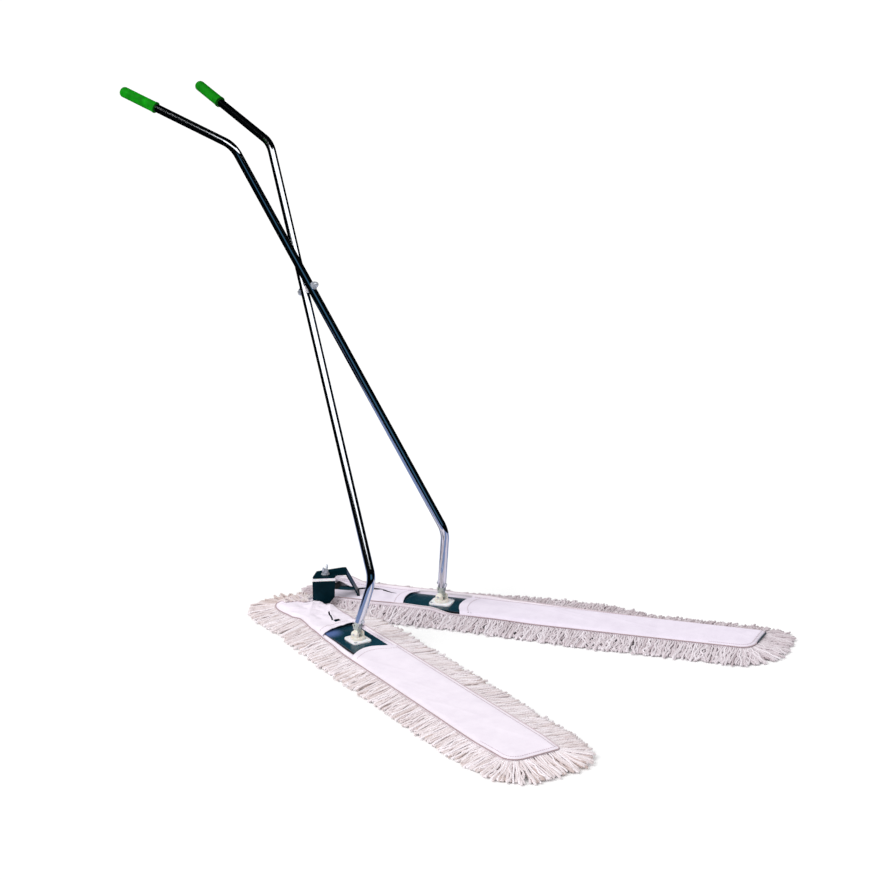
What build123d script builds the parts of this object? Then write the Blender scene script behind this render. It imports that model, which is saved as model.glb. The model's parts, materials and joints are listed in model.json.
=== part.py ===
"""V-shaped dust mop: two sleeve mops hinged at the apex and worked by a pair of crossed handles.

Millimetres and degrees. The pieces are drawn with the hinge axis as the Z axis, the floor at Z = 0 and the
V opening toward +X, and are moved at the end so that the origin is under the middle of the whole object.
The near mop lies toward -Y and the far mop toward +Y. A mop's own axes are s, along it from the hinge,
and t, outward from the hinge, and pieces that both mops have are drawn there once.
"""
import os
from collections import namedtuple
from math import atan2, cos, hypot, radians, sin, tan

from build123d import *

# Driving dimensions: the two mops
V_ANGLE = 39.4           # between the two mops at rest
LIMB_OFFSET = 62.0       # hinge axis to the centre line of a mop
FRAME_LENGTH = 1000.0
FRAME_WIDTH = 84.0
FRAME_HEIGHT = 7.5       # turned-down edge included
FRAME_GAUGE = 1.5
FRAME_CORNER = 14.0
END_ROOM = 18.0          # frame to seam, at the ends and at the sides
SIDE_ROOM = 15.0
APEX_CORNER = 40.0       # corner radius of a sleeve toward the hinge
TIGHT_CORNER = 9.0       # corner radii at the free end, one sewn tighter than the other
LOOSE_CORNER = 34.0
NEAR_LAP = 58.0          # how far a sleeve runs back past the hinge
FAR_LAP = 20.0
FRINGE_REACH = 60.0      # yarn beyond the seam
NEAR_TIP_EXTRA = 15.0    # longer yarn at the near mop's free end
TUFT_PITCH = 28.0
PAD_HEIGHT = 13.0        # yarn under the sleeve
CLOTH = 1.2
BINDING_WIDTH = 9.0
BINDING_HEIGHT = 5.4
CANVAS = 1.0
WINDOW_BACK = 84.0       # canvas opening: swivel to its edge toward the hinge, and to the other
WINDOW_AHEAD = 66.0
START_BOW = 14.0         # how far the edges of the opening bow toward the hinge
END_BOW = 22.0
HEM_WIDTH = 28.0

# Driving dimensions: swivel and lower joints
SWIVEL_REACH = 266.0     # hinge to swivel, along the mop
BASE_LENGTH, BASE_WIDTH, BASE_HEIGHT = 52.0, 46.0, 3.5
BASE_CORNER = 9.0
RIVET_INSET = 6.0
TURRET_RADIUS = 16.0
TURRET_FLOOR = 6.2       # thickness under the turret's slot
DOME_RADIUS = 18.0       # round top of the turret's cheeks
LEAN_RISE = 13.0         # swivel base to lean pin
FORK_RISE = 14.0         # lean pin to scissor bolt
KNUCKLE_WIDTH = 12.0
BARREL_RADIUS = 5.5
EYE_RADIUS, EYE_WIDTH = 6.0, 6.0
CHEEK = 3.2              # fork cheek
PIN_RADIUS = 2.5
PIN_LENGTH = 27.2
STUD_RADIUS = 4.0
FAR_PLAY = 6.5           # room for the far stud, which closes the linkage

# Driving dimensions: handles
CROSS_HEIGHT = 761.7     # cross bolt above the floor
CROSS_SETBACK = 27.7     # cross bolt behind the hinge axis
LEAN_ANGLE = 26.8        # handle plane from upright
TUBE_RADIUS, TUBE_WALL = 9.5, 1.2
CROSS_GAP = 3.0          # between the crossed tubes
NEAR_BEND, FAR_BEND = 42.0, 38.3
UPPER_BEND = 41.4
BEND_RADIUS = 62.0
UPPER_REACH = 357.7      # cross bolt to upper bend
GRIP_LEG = 317.0         # upper bend to the end of the grip
GRIP_SPLAY = 4.3         # how far the grips turn apart about the handles
GRIP_RADIUS, GRIP_LENGTH = 12.2, 100.0
TUBE_START = 12.0        # scissor bolt to the end of the tube

# Driving dimensions: apex hinge
LEAF_HEIGHT = 72.0       # underside of the lower leaf
PLATE = 3.0              # bracket plate
SPACER_HEIGHT = 6.5
UPRIGHT_TURN = 43.5      # direction of the brackets' plates
UPRIGHT_SETOFF = 20.0    # hinge axis to the upright
UPRIGHT_BACK, UPRIGHT_FRONT = 31.0, 22.0
LEAF_DEPTH = 18.0        # lower leaf beyond the hinge axis
LEAF_CORNER = 4.0
STRAP_BEND = 50.0        # hinge axis to the fold at the top of the far strap
STRAP_RUN = 30.0         # how far the strap slopes out on its way down
STRAP_LOW, STRAP_HIGH = -3.0, 46.0
STRAP_FOOT = 44.0
FOLD_RADIUS = 3.5
BOLT_RADIUS = 4.0
WING_TURN = 112.0        # direction of the wing nut's ears at rest

# Clearances
FIT = 0.05               # running fit, on the radius
GAP = 0.3                # between faces that pass each other
THROUGH = 200.0          # longer than any hole or cut

# Seam to seam
SLEEVE_LENGTH = FRAME_LENGTH + 2 * END_ROOM
SLEEVE_WIDTH = FRAME_WIDTH + 2 * SIDE_ROOM

# Canvas opening along the mop
WINDOW_START, WINDOW_END = SWIVEL_REACH - WINDOW_BACK, SWIVEL_REACH + WINDOW_AHEAD

# Levels above the floor
CLOTH_TOP = PAD_HEIGHT + CLOTH
FRAME_BOTTOM = CLOTH_TOP + GAP
FRAME_TOP = FRAME_BOTTOM + FRAME_HEIGHT
BINDING_TOP = CLOTH_TOP + BINDING_HEIGHT
TIP_TOP = FRAME_TOP + GAP + CANVAS
APEX_TOP = TIP_TOP + PLATE + 2
BASE_TOP = FRAME_TOP + BASE_HEIGHT
TURRET_BOTTOM = BASE_TOP + GAP
SLOT_FLOOR = TURRET_BOTTOM + TURRET_FLOOR
LEAN_HEIGHT = BASE_TOP + LEAN_RISE
SCISSOR_HEIGHT = LEAN_HEIGHT + FORK_RISE
SPACER_BOTTOM = LEAF_HEIGHT + PLATE
UPPER_LEAF = SPACER_BOTTOM + SPACER_HEIGHT + GAP
WASHER_BOTTOM = UPPER_LEAF + PLATE + GAP

HALF_V = V_ANGLE / 2
SWIVEL = Vector(SWIVEL_REACH, LIMB_OFFSET)
STRAP_LANDING = STRAP_BEND + STRAP_RUN

# Directions of the leaning handle plane: along the bolts, and up the plane
BOLT_DIR = Vector(cos(radians(LEAN_ANGLE)), 0, sin(radians(LEAN_ANGLE)))
RISE_DIR = Vector(-sin(radians(LEAN_ANGLE)), 0, cos(radians(LEAN_ANGLE)))
SIDE_DIR = Vector(0, 1, 0)


def far_side(shape):
    """Turn a shape from a mop's own axes to the far mop."""
    return Rot(0, 0, HALF_V) * shape


def near_side(shape):
    """The mirror image of far_side, for the near mop."""
    return mirror(far_side(shape), about=Plane.XZ)


def both(shape):
    """The near and far copies of a shape drawn in a mop's own axes."""
    return near_side(shape), far_side(shape)


def twins(shape):
    """The near and far copies of a shape drawn in place on the far side."""
    return mirror(shape, about=Plane.XZ), shape


def cylinder(start, along, radius, length):
    """A cylinder that starts at a point and runs along a direction."""
    return extrude(Plane(start, z_dir=along) * Circle(radius), length)


def upright_cylinder(x, y, bottom, top, radius):
    return cylinder(Vector(x, y, bottom), Vector(0, 0, 1), radius, top - bottom)


def prism(points, bottom, top):
    """A flat plate from a plan outline."""
    return Pos(0, 0, bottom) * extrude(make_face(Polyline(*points, close=True)), top - bottom)


def box(low, high):
    """A box between two opposite corners."""
    middle = [(a + b) / 2 for a, b in zip(low, high)]
    return Pos(*middle) * Box(*(b - a for a, b in zip(low, high)))


def hexagon(across_flats):
    return RegularPolygon(across_flats / 2, 6, major_radius=False)


def corner_arc(a, b, c, radius):
    """Start, middle and end of the arc that rounds the corner at b on the way from a to c."""
    back, on = (a - b).normalized(), (c - b).normalized()
    half = radians(back.get_angle(on)) / 2
    cut = radius / tan(half)
    middle = b + (back + on).normalized() * (radius / sin(half) - radius)
    return b + back * cut, middle, b + on * cut


# Sleeve

Sleeve = namedtuple("Sleeve", "lap inner_tip outer_tip tip_extra")
NEAR_SLEEVE = Sleeve(NEAR_LAP, TIGHT_CORNER, LOOSE_CORNER, NEAR_TIP_EXTRA)
FAR_SLEEVE = Sleeve(FAR_LAP, LOOSE_CORNER, TIGHT_CORNER, 0.0)


def sleeve_wire(sleeve, grow, level=0):
    """Seam line of a sleeve, moved outward by GROW: a long rectangle with round corners."""
    s0, s1 = -sleeve.lap - grow, SLEEVE_LENGTH - sleeve.lap + grow
    t0 = LIMB_OFFSET - SLEEVE_WIDTH / 2 - grow
    t1 = LIMB_OFFSET + SLEEVE_WIDTH / 2 + grow
    p = [Vector(x, y, level) for x, y in ((s0, t0), (s1, t0), (s1, t1), (s0, t1))]
    radii = [max(r + grow, 1) for r in (APEX_CORNER, sleeve.inner_tip, sleeve.outer_tip, APEX_CORNER)]
    arcs = [corner_arc(p[i - 1], p[i], p[(i + 1) % 4], radii[i]) for i in range(4)]
    edges = []
    for here, after in zip(arcs, arcs[1:] + arcs[:1]):
        edges += [ThreePointArc(*here), Line(here[2], after[0])]
    return Wire(edges)


def sleeve_slab(sleeve, grow, bottom, top):
    return extrude(make_face(sleeve_wire(sleeve, grow, bottom)), top - bottom)


def sleeve_mound(sleeve, low_grow, bottom, high_grow, top):
    """A slab whose edge slopes inward from one seam offset to another."""
    wires = [sleeve_wire(sleeve, low_grow, bottom), sleeve_wire(sleeve, high_grow, top)]
    return loft([make_face(w) for w in wires], ruled=True)


def pocket_shell(sleeve, top):
    """Canvas over the frame, before it is cut into two pockets."""
    outside = sleeve_mound(sleeve, -0.5, BINDING_TOP, -12, top)
    inside = sleeve_mound(sleeve, -0.5 - 1.4 * CANVAS, BINDING_TOP - 0.01, -12 - CANVAS, top - CANVAS)
    return outside - inside


def beyond(start, bow):
    """Everything tipward of a curved line across the mop that bows toward the apex by BOW."""
    edge = SLEEVE_WIDTH / 2 + 10
    low, high = LIMB_OFFSET - edge, LIMB_OFFSET + edge
    end = start + SLEEVE_LENGTH
    arc = ThreePointArc((start, low), (start - bow, LIMB_OFFSET), (start, high))
    rest = Polyline((start, high), (end, high), (end, low), (start, low))
    return extrude(make_face(Wire([arc] + rest.edges())), THROUGH)


def tip_pocket(sleeve):
    """Long pocket with a hemmed curved edge."""
    body = pocket_shell(sleeve, TIP_TOP) & beyond(WINDOW_END, END_BOW)
    hem = sleeve_slab(sleeve, -14, TIP_TOP - 0.2, TIP_TOP + 0.7)
    return body + (hem & (beyond(WINDOW_END, END_BOW) - beyond(WINDOW_END + HEM_WIDTH, END_BOW)))


def apex_pocket(sleeve, opening):
    """Short pocket toward the hinge, raised over the bracket's foot and cut open for the bracket."""
    body = pocket_shell(sleeve, APEX_TOP) - beyond(WINDOW_START, START_BOW)
    hem = sleeve_slab(sleeve, -14, APEX_TOP - 0.2, APEX_TOP + 0.7)
    hem = hem & (beyond(WINDOW_START - HEM_WIDTH / 2, START_BOW) - beyond(WINDOW_START, START_BOW))
    return body + hem - opening


def fringe(sleeve):
    """Yarn all round the sleeve: a band with one tooth for each tuft, sloping toward the floor."""
    middle = sleeve_wire(sleeve, FRINGE_REACH / 2)
    count = round(middle.length / TUFT_PITCH)
    points = []
    for i in range(count):
        reach = FRINGE_REACH * (1 + 0.05 * sin(2.4 * i))
        for share, out in ((0.0, 0.3 * FRINGE_REACH), (0.24, reach), (0.76, 0.97 * reach)):
            along = middle.tangent_at((i + share) / count)
            outward = Vector(along.Y, -along.X)
            longer = sleeve.tip_extra * max(outward.X, 0) ** 2 * out / FRINGE_REACH
            start = middle.position_at((i + share) / count)
            points.append(start + outward * (out + longer - FRINGE_REACH / 2))
    teeth = make_face(Polyline(*points, close=True)) - make_face(sleeve_wire(sleeve, GAP))
    low, shoulder, high = 0.6, PAD_HEIGHT + 2, BINDING_TOP
    outside = FRINGE_REACH * 1.1 + sleeve.tip_extra
    slope = sleeve_slab(sleeve, outside, low, shoulder)
    slope += sleeve_mound(sleeve, outside, shoulder, 0, high)
    return (Pos(0, 0, low) * extrude(teeth, high - low)) & slope


def apex_share(near):
    """The ground that belongs to one mop's fringe where the two fringes meet."""
    far, back = 3000.0, 3000.0 * tan(radians(HALF_V))
    edge = [(0, 0), (far, 0)]
    sign = -1 if near else 1
    return prism(edge + [(far, sign * far), (-far, sign * far), (-far, back)], 0, 40)


def sleeve_parts(sleeve, opening):
    """Every soft piece of a mop, in its own axes."""
    ring = sleeve_slab(sleeve, 0, CLOTH_TOP, BINDING_TOP) - sleeve_slab(sleeve, -BINDING_WIDTH, 0, THROUGH)
    return {
        "yarn_pad": sleeve_slab(sleeve, 0, 0, PAD_HEIGHT),
        "base_cloth": sleeve_slab(sleeve, 0, PAD_HEIGHT, CLOTH_TOP),
        "binding": ring,
        "tip_pocket": tip_pocket(sleeve),
        "apex_pocket": apex_pocket(sleeve, opening),
        "fringe": fringe(sleeve),
    }


# Frame and swivel base

def base_rivets():
    """Places of the swivel base's two rivets, at opposite corners."""
    a, b = BASE_LENGTH / 2 - RIVET_INSET, BASE_WIDTH / 2 - RIVET_INSET
    return [(SWIVEL.X + i * a, SWIVEL.Y + i * b) for i in (-1, 1)]


def frame_plate(lap, stud_room, rivets):
    """Pressed plate with turned-down edges, holed for the stud and the rivets."""
    middle = SLEEVE_LENGTH / 2 - lap
    outside = Pos(middle, LIMB_OFFSET) * RectangleRounded(FRAME_LENGTH, FRAME_WIDTH, FRAME_CORNER)
    inside = offset(outside, -FRAME_GAUGE)
    plate = Pos(0, 0, FRAME_BOTTOM) * extrude(outside, FRAME_HEIGHT)
    plate -= Pos(0, 0, FRAME_BOTTOM - 1) * extrude(inside, FRAME_HEIGHT - FRAME_GAUGE + 1)
    plate -= upright_cylinder(SWIVEL.X, SWIVEL.Y, 0, THROUGH, stud_room)
    for x, y in rivets:
        plate -= upright_cylinder(x, y, 0, THROUGH, 2)
    return plate


def swivel_base(stud_room):
    """Plastic plate with round corners, under the turret."""
    plate = RectangleRounded(BASE_LENGTH, BASE_WIDTH, BASE_CORNER)
    base = Pos(SWIVEL.X, SWIVEL.Y, FRAME_TOP) * extrude(plate, BASE_HEIGHT)
    base = chamfer(base.faces().sort_by(Axis.Z)[-1].edges(), 0.8)
    base -= upright_cylinder(SWIVEL.X, SWIVEL.Y, 0, THROUGH, stud_room)
    for x, y in base_rivets():
        base -= upright_cylinder(x, y, 0, THROUGH, 2)
    return base


def rivets(places, top):
    """Low-headed rivets through the frame plate, closed under it."""
    group = Part()
    for x, y in places:
        head = upright_cylinder(x, y, top, top + 1.8, 3.6)
        head = chamfer(head.faces().sort_by(Axis.Z)[-1].edges(), 1.0)
        shank = upright_cylinder(x, y, FRAME_TOP - FRAME_GAUGE - 1, top + 0.5, 2)
        tail = upright_cylinder(x, y, FRAME_TOP - FRAME_GAUGE - 1.5, FRAME_TOP - FRAME_GAUGE, 3.4)
        group += head + shank + tail
    return group


def stud(foot_radius):
    """Swivel stud: a foot under the frame, a shank through the base and a head inside the turret."""
    under = FRAME_TOP - FRAME_GAUGE
    foot = upright_cylinder(SWIVEL.X, SWIVEL.Y, under - 2.6, under - GAP, foot_radius)
    shank = upright_cylinder(SWIVEL.X, SWIVEL.Y, under - 2.6, SLOT_FLOOR - GAP, STUD_RADIUS)
    head = upright_cylinder(SWIVEL.X, SWIVEL.Y, SLOT_FLOOR - 2.6, SLOT_FLOOR - GAP, 7)
    return foot + shank + head


# Lower joints, drawn in place on the far side

TURN = Vector(SWIVEL_REACH, LIMB_OFFSET).rotate(Axis.Z, HALF_V)
LEAN_POINT = Vector(TURN.X, TURN.Y, LEAN_HEIGHT)
SCISSOR_POINT = Vector(TURN.X, TURN.Y, SCISSOR_HEIGHT)
CROSS_POINT = Vector(-CROSS_SETBACK, 0, CROSS_HEIGHT)
EYE_PLANE = Plane(SCISSOR_POINT, x_dir=SIDE_DIR, z_dir=BOLT_DIR)

# The scissor bolt seen along the bolts: below and beside the cross bolt
DROP = (CROSS_POINT - SCISSOR_POINT).dot(RISE_DIR)
SPREAD = atan2(SCISSOR_POINT.Y, DROP)
FAR_MAIN = RISE_DIR * cos(SPREAD) - SIDE_DIR * sin(SPREAD)


def tail_direction(bend):
    """Direction of a handle's lower end, drawn on the far side."""
    return FAR_MAIN * cos(radians(bend)) + BOLT_DIR * sin(radians(bend))


def turret():
    """Round swivel block with two domed cheeks that hold the lean pin."""
    x, y = TURN.X, TURN.Y
    half = KNUCKLE_WIDTH / 2 + GAP
    side = PIN_LENGTH / 2 + 0.4
    cheek_radius = FORK_RISE - 5
    body = upright_cylinder(x, y, TURRET_BOTTOM, SLOT_FLOOR, TURRET_RADIUS)
    body = chamfer(body.faces().sort_by(Axis.Z)[-1].edges(), 1.2)
    cheeks = cylinder(LEAN_POINT - SIDE_DIR * side, SIDE_DIR, cheek_radius, 2 * side)
    cheeks += box((x - cheek_radius, y - side, SLOT_FLOOR - 2), (x + cheek_radius, y + side, LEAN_HEIGHT))
    cheeks = cheeks & upright_cylinder(x, y, TURRET_BOTTOM, LEAN_HEIGHT + cheek_radius, TURRET_RADIUS - 1)
    cheeks = cheeks & (Pos(x, y, LEAN_HEIGHT + cheek_radius + 1 - DOME_RADIUS) * Sphere(DOME_RADIUS))
    body += cheeks
    body -= box((x - 30, y - half, SLOT_FLOOR), (x + 30, y + half, LEAN_HEIGHT + 20))
    body -= cylinder(LEAN_POINT - SIDE_DIR * 20, SIDE_DIR, PIN_RADIUS + FIT, 40)
    body -= upright_cylinder(x, y, 0, SLOT_FLOOR + 1, STUD_RADIUS + FIT)
    return body - upright_cylinder(x, y, SLOT_FLOOR - 2.9, SLOT_FLOOR + 1, 7 + GAP)


def knuckle():
    """Link with a barrel on the lean pin and an eye on the scissor bolt."""
    x, y, half = TURN.X, TURN.Y, KNUCKLE_WIDTH / 2
    barrel = cylinder(LEAN_POINT - SIDE_DIR * half, SIDE_DIR, BARREL_RADIUS, KNUCKLE_WIDTH)
    shoulder = LEAN_HEIGHT + FORK_RISE - 11
    arm = box((x - BARREL_RADIUS, y - half, LEAN_HEIGHT), (x + BARREL_RADIUS, y + half, shoulder))
    eye = cylinder(SCISSOR_POINT - BOLT_DIR * EYE_WIDTH / 2, BOLT_DIR, EYE_RADIUS, EYE_WIDTH)
    stem = EYE_PLANE * box((-half, -FORK_RISE + 3, -EYE_WIDTH / 2), (half, 0, EYE_WIDTH / 2))
    link = barrel + arm + eye + stem
    link -= cylinder(LEAN_POINT - SIDE_DIR * 20, SIDE_DIR, PIN_RADIUS + FIT, 40)
    return link - cylinder(SCISSOR_POINT - BOLT_DIR * 20, BOLT_DIR, PIN_RADIUS + FIT, 40)


def fork(bend):
    """Fork with two cheeks round the knuckle's eye and a plug inside the tube."""
    tail = tail_direction(bend)
    inner, outer = EYE_WIDTH / 2 + GAP, EYE_WIDTH / 2 + GAP + CHEEK
    cheeks = cylinder(SCISSOR_POINT - BOLT_DIR * outer, BOLT_DIR, EYE_RADIUS, 2 * outer)
    cheeks += EYE_PLANE * box((-EYE_RADIUS, 0, -outer), (EYE_RADIUS, TUBE_START - 2, outer))
    post = cylinder(SCISSOR_POINT + tail * 5, tail, TUBE_RADIUS - 0.1, TUBE_START - 5)
    plug = cylinder(SCISSOR_POINT + tail * (TUBE_START - 3), tail, TUBE_RADIUS - TUBE_WALL - FIT, 23)
    body = cheeks + post
    body -= cylinder(SCISSOR_POINT + tail * TUBE_START, tail, 30, 40)
    body += plug
    body -= EYE_PLANE * box((-20, -20, -inner), (20, EYE_RADIUS + 1.6, inner))
    body -= cylinder(SCISSOR_POINT - BOLT_DIR * 20, BOLT_DIR, PIN_RADIUS + FIT, 40)
    for way in (BOLT_DIR, BOLT_DIR * -1):
        body -= cylinder(SCISSOR_POINT + way * outer, way, 5.4, 20)
    return body - cross_hole(bend)


def scissor_bolt():
    """Bolt through the fork and the knuckle's eye, with a round head and a nut."""
    outer = EYE_WIDTH / 2 + GAP + CHEEK + GAP
    shank = cylinder(SCISSOR_POINT - BOLT_DIR * (outer + 1), BOLT_DIR, PIN_RADIUS, 2 * outer + 5)
    head = cylinder(SCISSOR_POINT - BOLT_DIR * (outer + 3), BOLT_DIR, 4.5, 3)
    nut = Plane(SCISSOR_POINT + BOLT_DIR * outer, z_dir=BOLT_DIR) * extrude(hexagon(8), 3.4)
    return shank + head + nut


def cross_rivet_axis(bend):
    """Where the rivet crosses the tube's lower end, and its direction fore and aft."""
    tail = tail_direction(bend)
    ahead = (BOLT_DIR - tail * BOLT_DIR.dot(tail)).normalized()
    return SCISSOR_POINT + tail * (TUBE_START + 7), ahead


def cross_hole(bend):
    middle, ahead = cross_rivet_axis(bend)
    return cylinder(middle - ahead * 20, ahead, PIN_RADIUS + FIT, 40)


def cross_rivet(bend):
    middle, ahead = cross_rivet_axis(bend)
    reach = TUBE_RADIUS + 0.2
    rivet = cylinder(middle - ahead * (reach + 1), ahead, PIN_RADIUS, 2 * reach + 2)
    for way in (ahead, ahead * -1):
        rivet += cylinder(middle + way * reach, way, 4.2, 2.2)
    return rivet


# Handles

def handle_points(side):
    """Corner points of a handle's centre line: tail end, lower bend, upper bend and grip end.

    The tubes pass on either side of the cross bolt's middle, so their tails differ a little in length.
    """
    shift = side * (TUBE_RADIUS + CROSS_GAP / 2)
    main = RISE_DIR * cos(SPREAD) - SIDE_DIR * (side * sin(SPREAD))
    apart = SIDE_DIR * (side * cos(SPREAD)) + RISE_DIR * sin(SPREAD)
    bend = radians(FAR_BEND if side > 0 else NEAR_BEND)
    top, splay = radians(UPPER_BEND), radians(GRIP_SPLAY)
    tail = main * cos(bend) + BOLT_DIR * sin(bend)
    grip = main * cos(top) - (BOLT_DIR * cos(splay) + apart * sin(splay)) * sin(top)
    foot = Vector(SCISSOR_POINT.X, side * SCISSOR_POINT.Y, SCISSOR_POINT.Z)
    hole = CROSS_POINT + BOLT_DIR * shift
    tail_length = (hole - foot).dot(BOLT_DIR) / sin(bend)
    upper = hole + main * UPPER_REACH
    return foot + tail * TUBE_START, foot + tail * tail_length, upper, upper + grip * GRIP_LEG


def bent_path(points):
    """Straight runs joined by arcs of the bend radius."""
    edges, start = [], points[0]
    for a, b, c in zip(points, points[1:], points[2:]):
        arc = corner_arc(a, b, c, BEND_RADIUS)
        edges += [Line(start, arc[0]), ThreePointArc(*arc)]
        start = arc[2]
    return Wire(edges + [Line(start, points[-1])])


def handle_tube(side):
    """Bent tube with holes for the cross bolt and the fork's rivet."""
    low, bend, upper, tip = handle_points(side)
    end = tip - (tip - upper).normalized() * 6
    path = bent_path([low, bend, upper, end])
    section = Plane(low, z_dir=bend - low)
    tube = sweep(section * (Circle(TUBE_RADIUS) - Circle(TUBE_RADIUS - TUBE_WALL)), path)
    tube -= cylinder(CROSS_POINT - BOLT_DIR * (THROUGH / 2), BOLT_DIR, BOLT_RADIUS + FIT, THROUGH)
    hole = cross_hole(FAR_BEND) if side > 0 else mirror(cross_hole(NEAR_BEND), about=Plane.XZ)
    return tube - hole


def grip(side):
    """Soft grip over the end of a tube, with a collar at its mouth and a round closed end."""
    upper, tip = handle_points(side)[2:]
    along = (tip - upper).normalized()
    start = tip - along * GRIP_LENGTH
    body = cylinder(start, along, GRIP_RADIUS, GRIP_LENGTH)
    body = fillet(body.edges().filter_by(GeomType.CIRCLE).sort_by(Axis(start, along))[-1], GRIP_RADIUS * 0.8)
    body += cylinder(start, along, GRIP_RADIUS + 0.8, 4)
    return body - cylinder(start - along, along, TUBE_RADIUS + FIT, GRIP_LENGTH - 5 + FIT)


def cross_parts():
    """The bolt that joins the handles, with its spacer, washers and dome nut."""
    outside = 2 * TUBE_RADIUS + CROSS_GAP / 2
    axis = Plane(CROSS_POINT, z_dir=BOLT_DIR)

    def disc(low, high, radius):
        return axis * (Pos(0, 0, low) * extrude(Circle(radius), high - low))

    bore = disc(-THROUGH / 2, THROUGH / 2, BOLT_RADIUS + FIT)
    washers = disc(outside + 0.1, outside + 1.7, 9) + disc(-outside - 1.7, -outside - 0.1, 9)
    head = axis * (Pos(0, 0, -outside - 7) * extrude(hexagon(13), 5.3))
    bolt = disc(-outside - 3, outside + 9, BOLT_RADIUS) + head
    nut = axis * (Pos(0, 0, outside + 1.7) * extrude(hexagon(13), 6.5))
    dome = axis * (Pos(0, 0, outside + 8.2) * (Sphere(6) & box((-9, -9, -1), (9, 9, 9))))
    return {
        "cross_bolt": bolt,
        "cross_spacer": disc(0.1 - CROSS_GAP / 2, CROSS_GAP / 2 - 0.1, 9) - bore,
        "cross_washers": washers - bore,
        "cross_nut": nut + dome - disc(0, outside + 9.05, BOLT_RADIUS + FIT),
    }


# Apex hinge

def hinge_bore(radius=BOLT_RADIUS + FIT):
    return upright_cylinder(0, 0, 0, THROUGH, radius)


def lower_plan():
    """Plan of the lower leaf and the spacer, in the upright's own axes."""
    return [(-UPRIGHT_BACK, -UPRIGHT_SETOFF), (UPRIGHT_FRONT, -UPRIGHT_SETOFF),
            (UPRIGHT_FRONT, LEAF_DEPTH - 8), (UPRIGHT_FRONT - 8, LEAF_DEPTH), (12 - UPRIGHT_BACK, LEAF_DEPTH)]


def lower_foot():
    """Plan of the lower bracket's foot on the near frame, in the upright's own axes."""
    edge = LIMB_OFFSET - FRAME_WIDTH / 2 + 2
    a = radians(UPRIGHT_TURN + HALF_V)
    y0, y1 = -UPRIGHT_SETOFF - 40, -UPRIGHT_SETOFF + PLATE
    inner = [-(edge + y * cos(a)) / sin(a) for y in (y0, y1)]
    return [(-UPRIGHT_BACK, y0), (inner[0], y0), (inner[1], y1), (-UPRIGHT_BACK, y1)]


def lower_bracket():
    """Near mop's bracket: a foot on the frame, an upright and a leaf under the spacer."""
    y0, y1 = -UPRIGHT_SETOFF, -UPRIGHT_SETOFF + PLATE
    reach = lower_foot()[2][0]
    low = BINDING_TOP + 1
    wall = [(-UPRIGHT_BACK, FRAME_TOP), (reach, FRAME_TOP), (reach + 3, FRAME_TOP + GAP),
            (reach + 7, FRAME_TOP + GAP), (reach + 9, low), (UPRIGHT_FRONT - 14, low),
            (UPRIGHT_FRONT - 2, low + 15),
            (UPRIGHT_FRONT, LEAF_HEIGHT + 1), (-UPRIGHT_BACK, LEAF_HEIGHT + 1)]
    wall = Plane((0, y1, 0), x_dir=(1, 0, 0), z_dir=(0, -1, 0)) * make_face(Polyline(*wall, close=True))
    body = prism(lower_plan(), LEAF_HEIGHT, LEAF_HEIGHT + PLATE) + extrude(wall, PLATE)
    body += prism(lower_foot(), FRAME_TOP, FRAME_TOP + PLATE)
    return Rot(0, 0, UPRIGHT_TURN) * body - hinge_bore()


def lower_rivets():
    """Rivet places of the lower bracket, in the near mop's own axes."""
    a = radians(UPRIGHT_TURN + HALF_V)
    places = [(8 - UPRIGHT_BACK, -10 - UPRIGHT_SETOFF), (24 - UPRIGHT_BACK, -32 - UPRIGHT_SETOFF)]
    return [(x * cos(a) - y * sin(a), -(x * sin(a) + y * cos(a))) for x, y in places]


def lower_opening():
    """Slit in the near pocket round the upright, in the near mop's own axes."""
    y0, y1 = -UPRIGHT_SETOFF - 1.5, -UPRIGHT_SETOFF + PLATE + 1.5
    slit = box((-UPRIGHT_BACK - 1.5, y0, 0), (UPRIGHT_FRONT + 1.5, y1, THROUGH))
    return mirror(Rot(0, 0, UPRIGHT_TURN + HALF_V) * slit, about=Plane.XZ)


def upper_rivets():
    """Rivet places of the upper bracket, in the far mop's own axes."""
    a = radians(UPRIGHT_TURN - HALF_V)
    places = [(STRAP_LANDING + STRAP_FOOT / 2, v) for v in (STRAP_LOW + 11, STRAP_HIGH - 10)]
    return [(u * cos(a) - v * sin(a), u * sin(a) + v * cos(a)) for u, v in places]


def strap_side():
    """Folded strap seen from its edge: a stub of the leaf, the slope and the foot."""
    fall = UPPER_LEAF - FRAME_TOP
    slip = PLATE * STRAP_RUN / fall - PLATE * hypot(STRAP_RUN, fall) / fall
    stub, toe = STRAP_BEND - 10, STRAP_LANDING + STRAP_FOOT
    side = make_face(Polyline((stub, UPPER_LEAF + PLATE), (STRAP_BEND, UPPER_LEAF + PLATE),
                              (STRAP_LANDING, FRAME_TOP + PLATE), (toe, FRAME_TOP + PLATE), (toe, FRAME_TOP),
                              (STRAP_LANDING + slip, FRAME_TOP), (STRAP_BEND + slip, UPPER_LEAF),
                              (stub, UPPER_LEAF), close=True))
    outside = (STRAP_BEND, STRAP_LANDING + slip)
    return fillet([v for v in side.vertices() if min(abs(v.X - x) for x in outside) < 0.1], FOLD_RADIUS)


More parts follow.
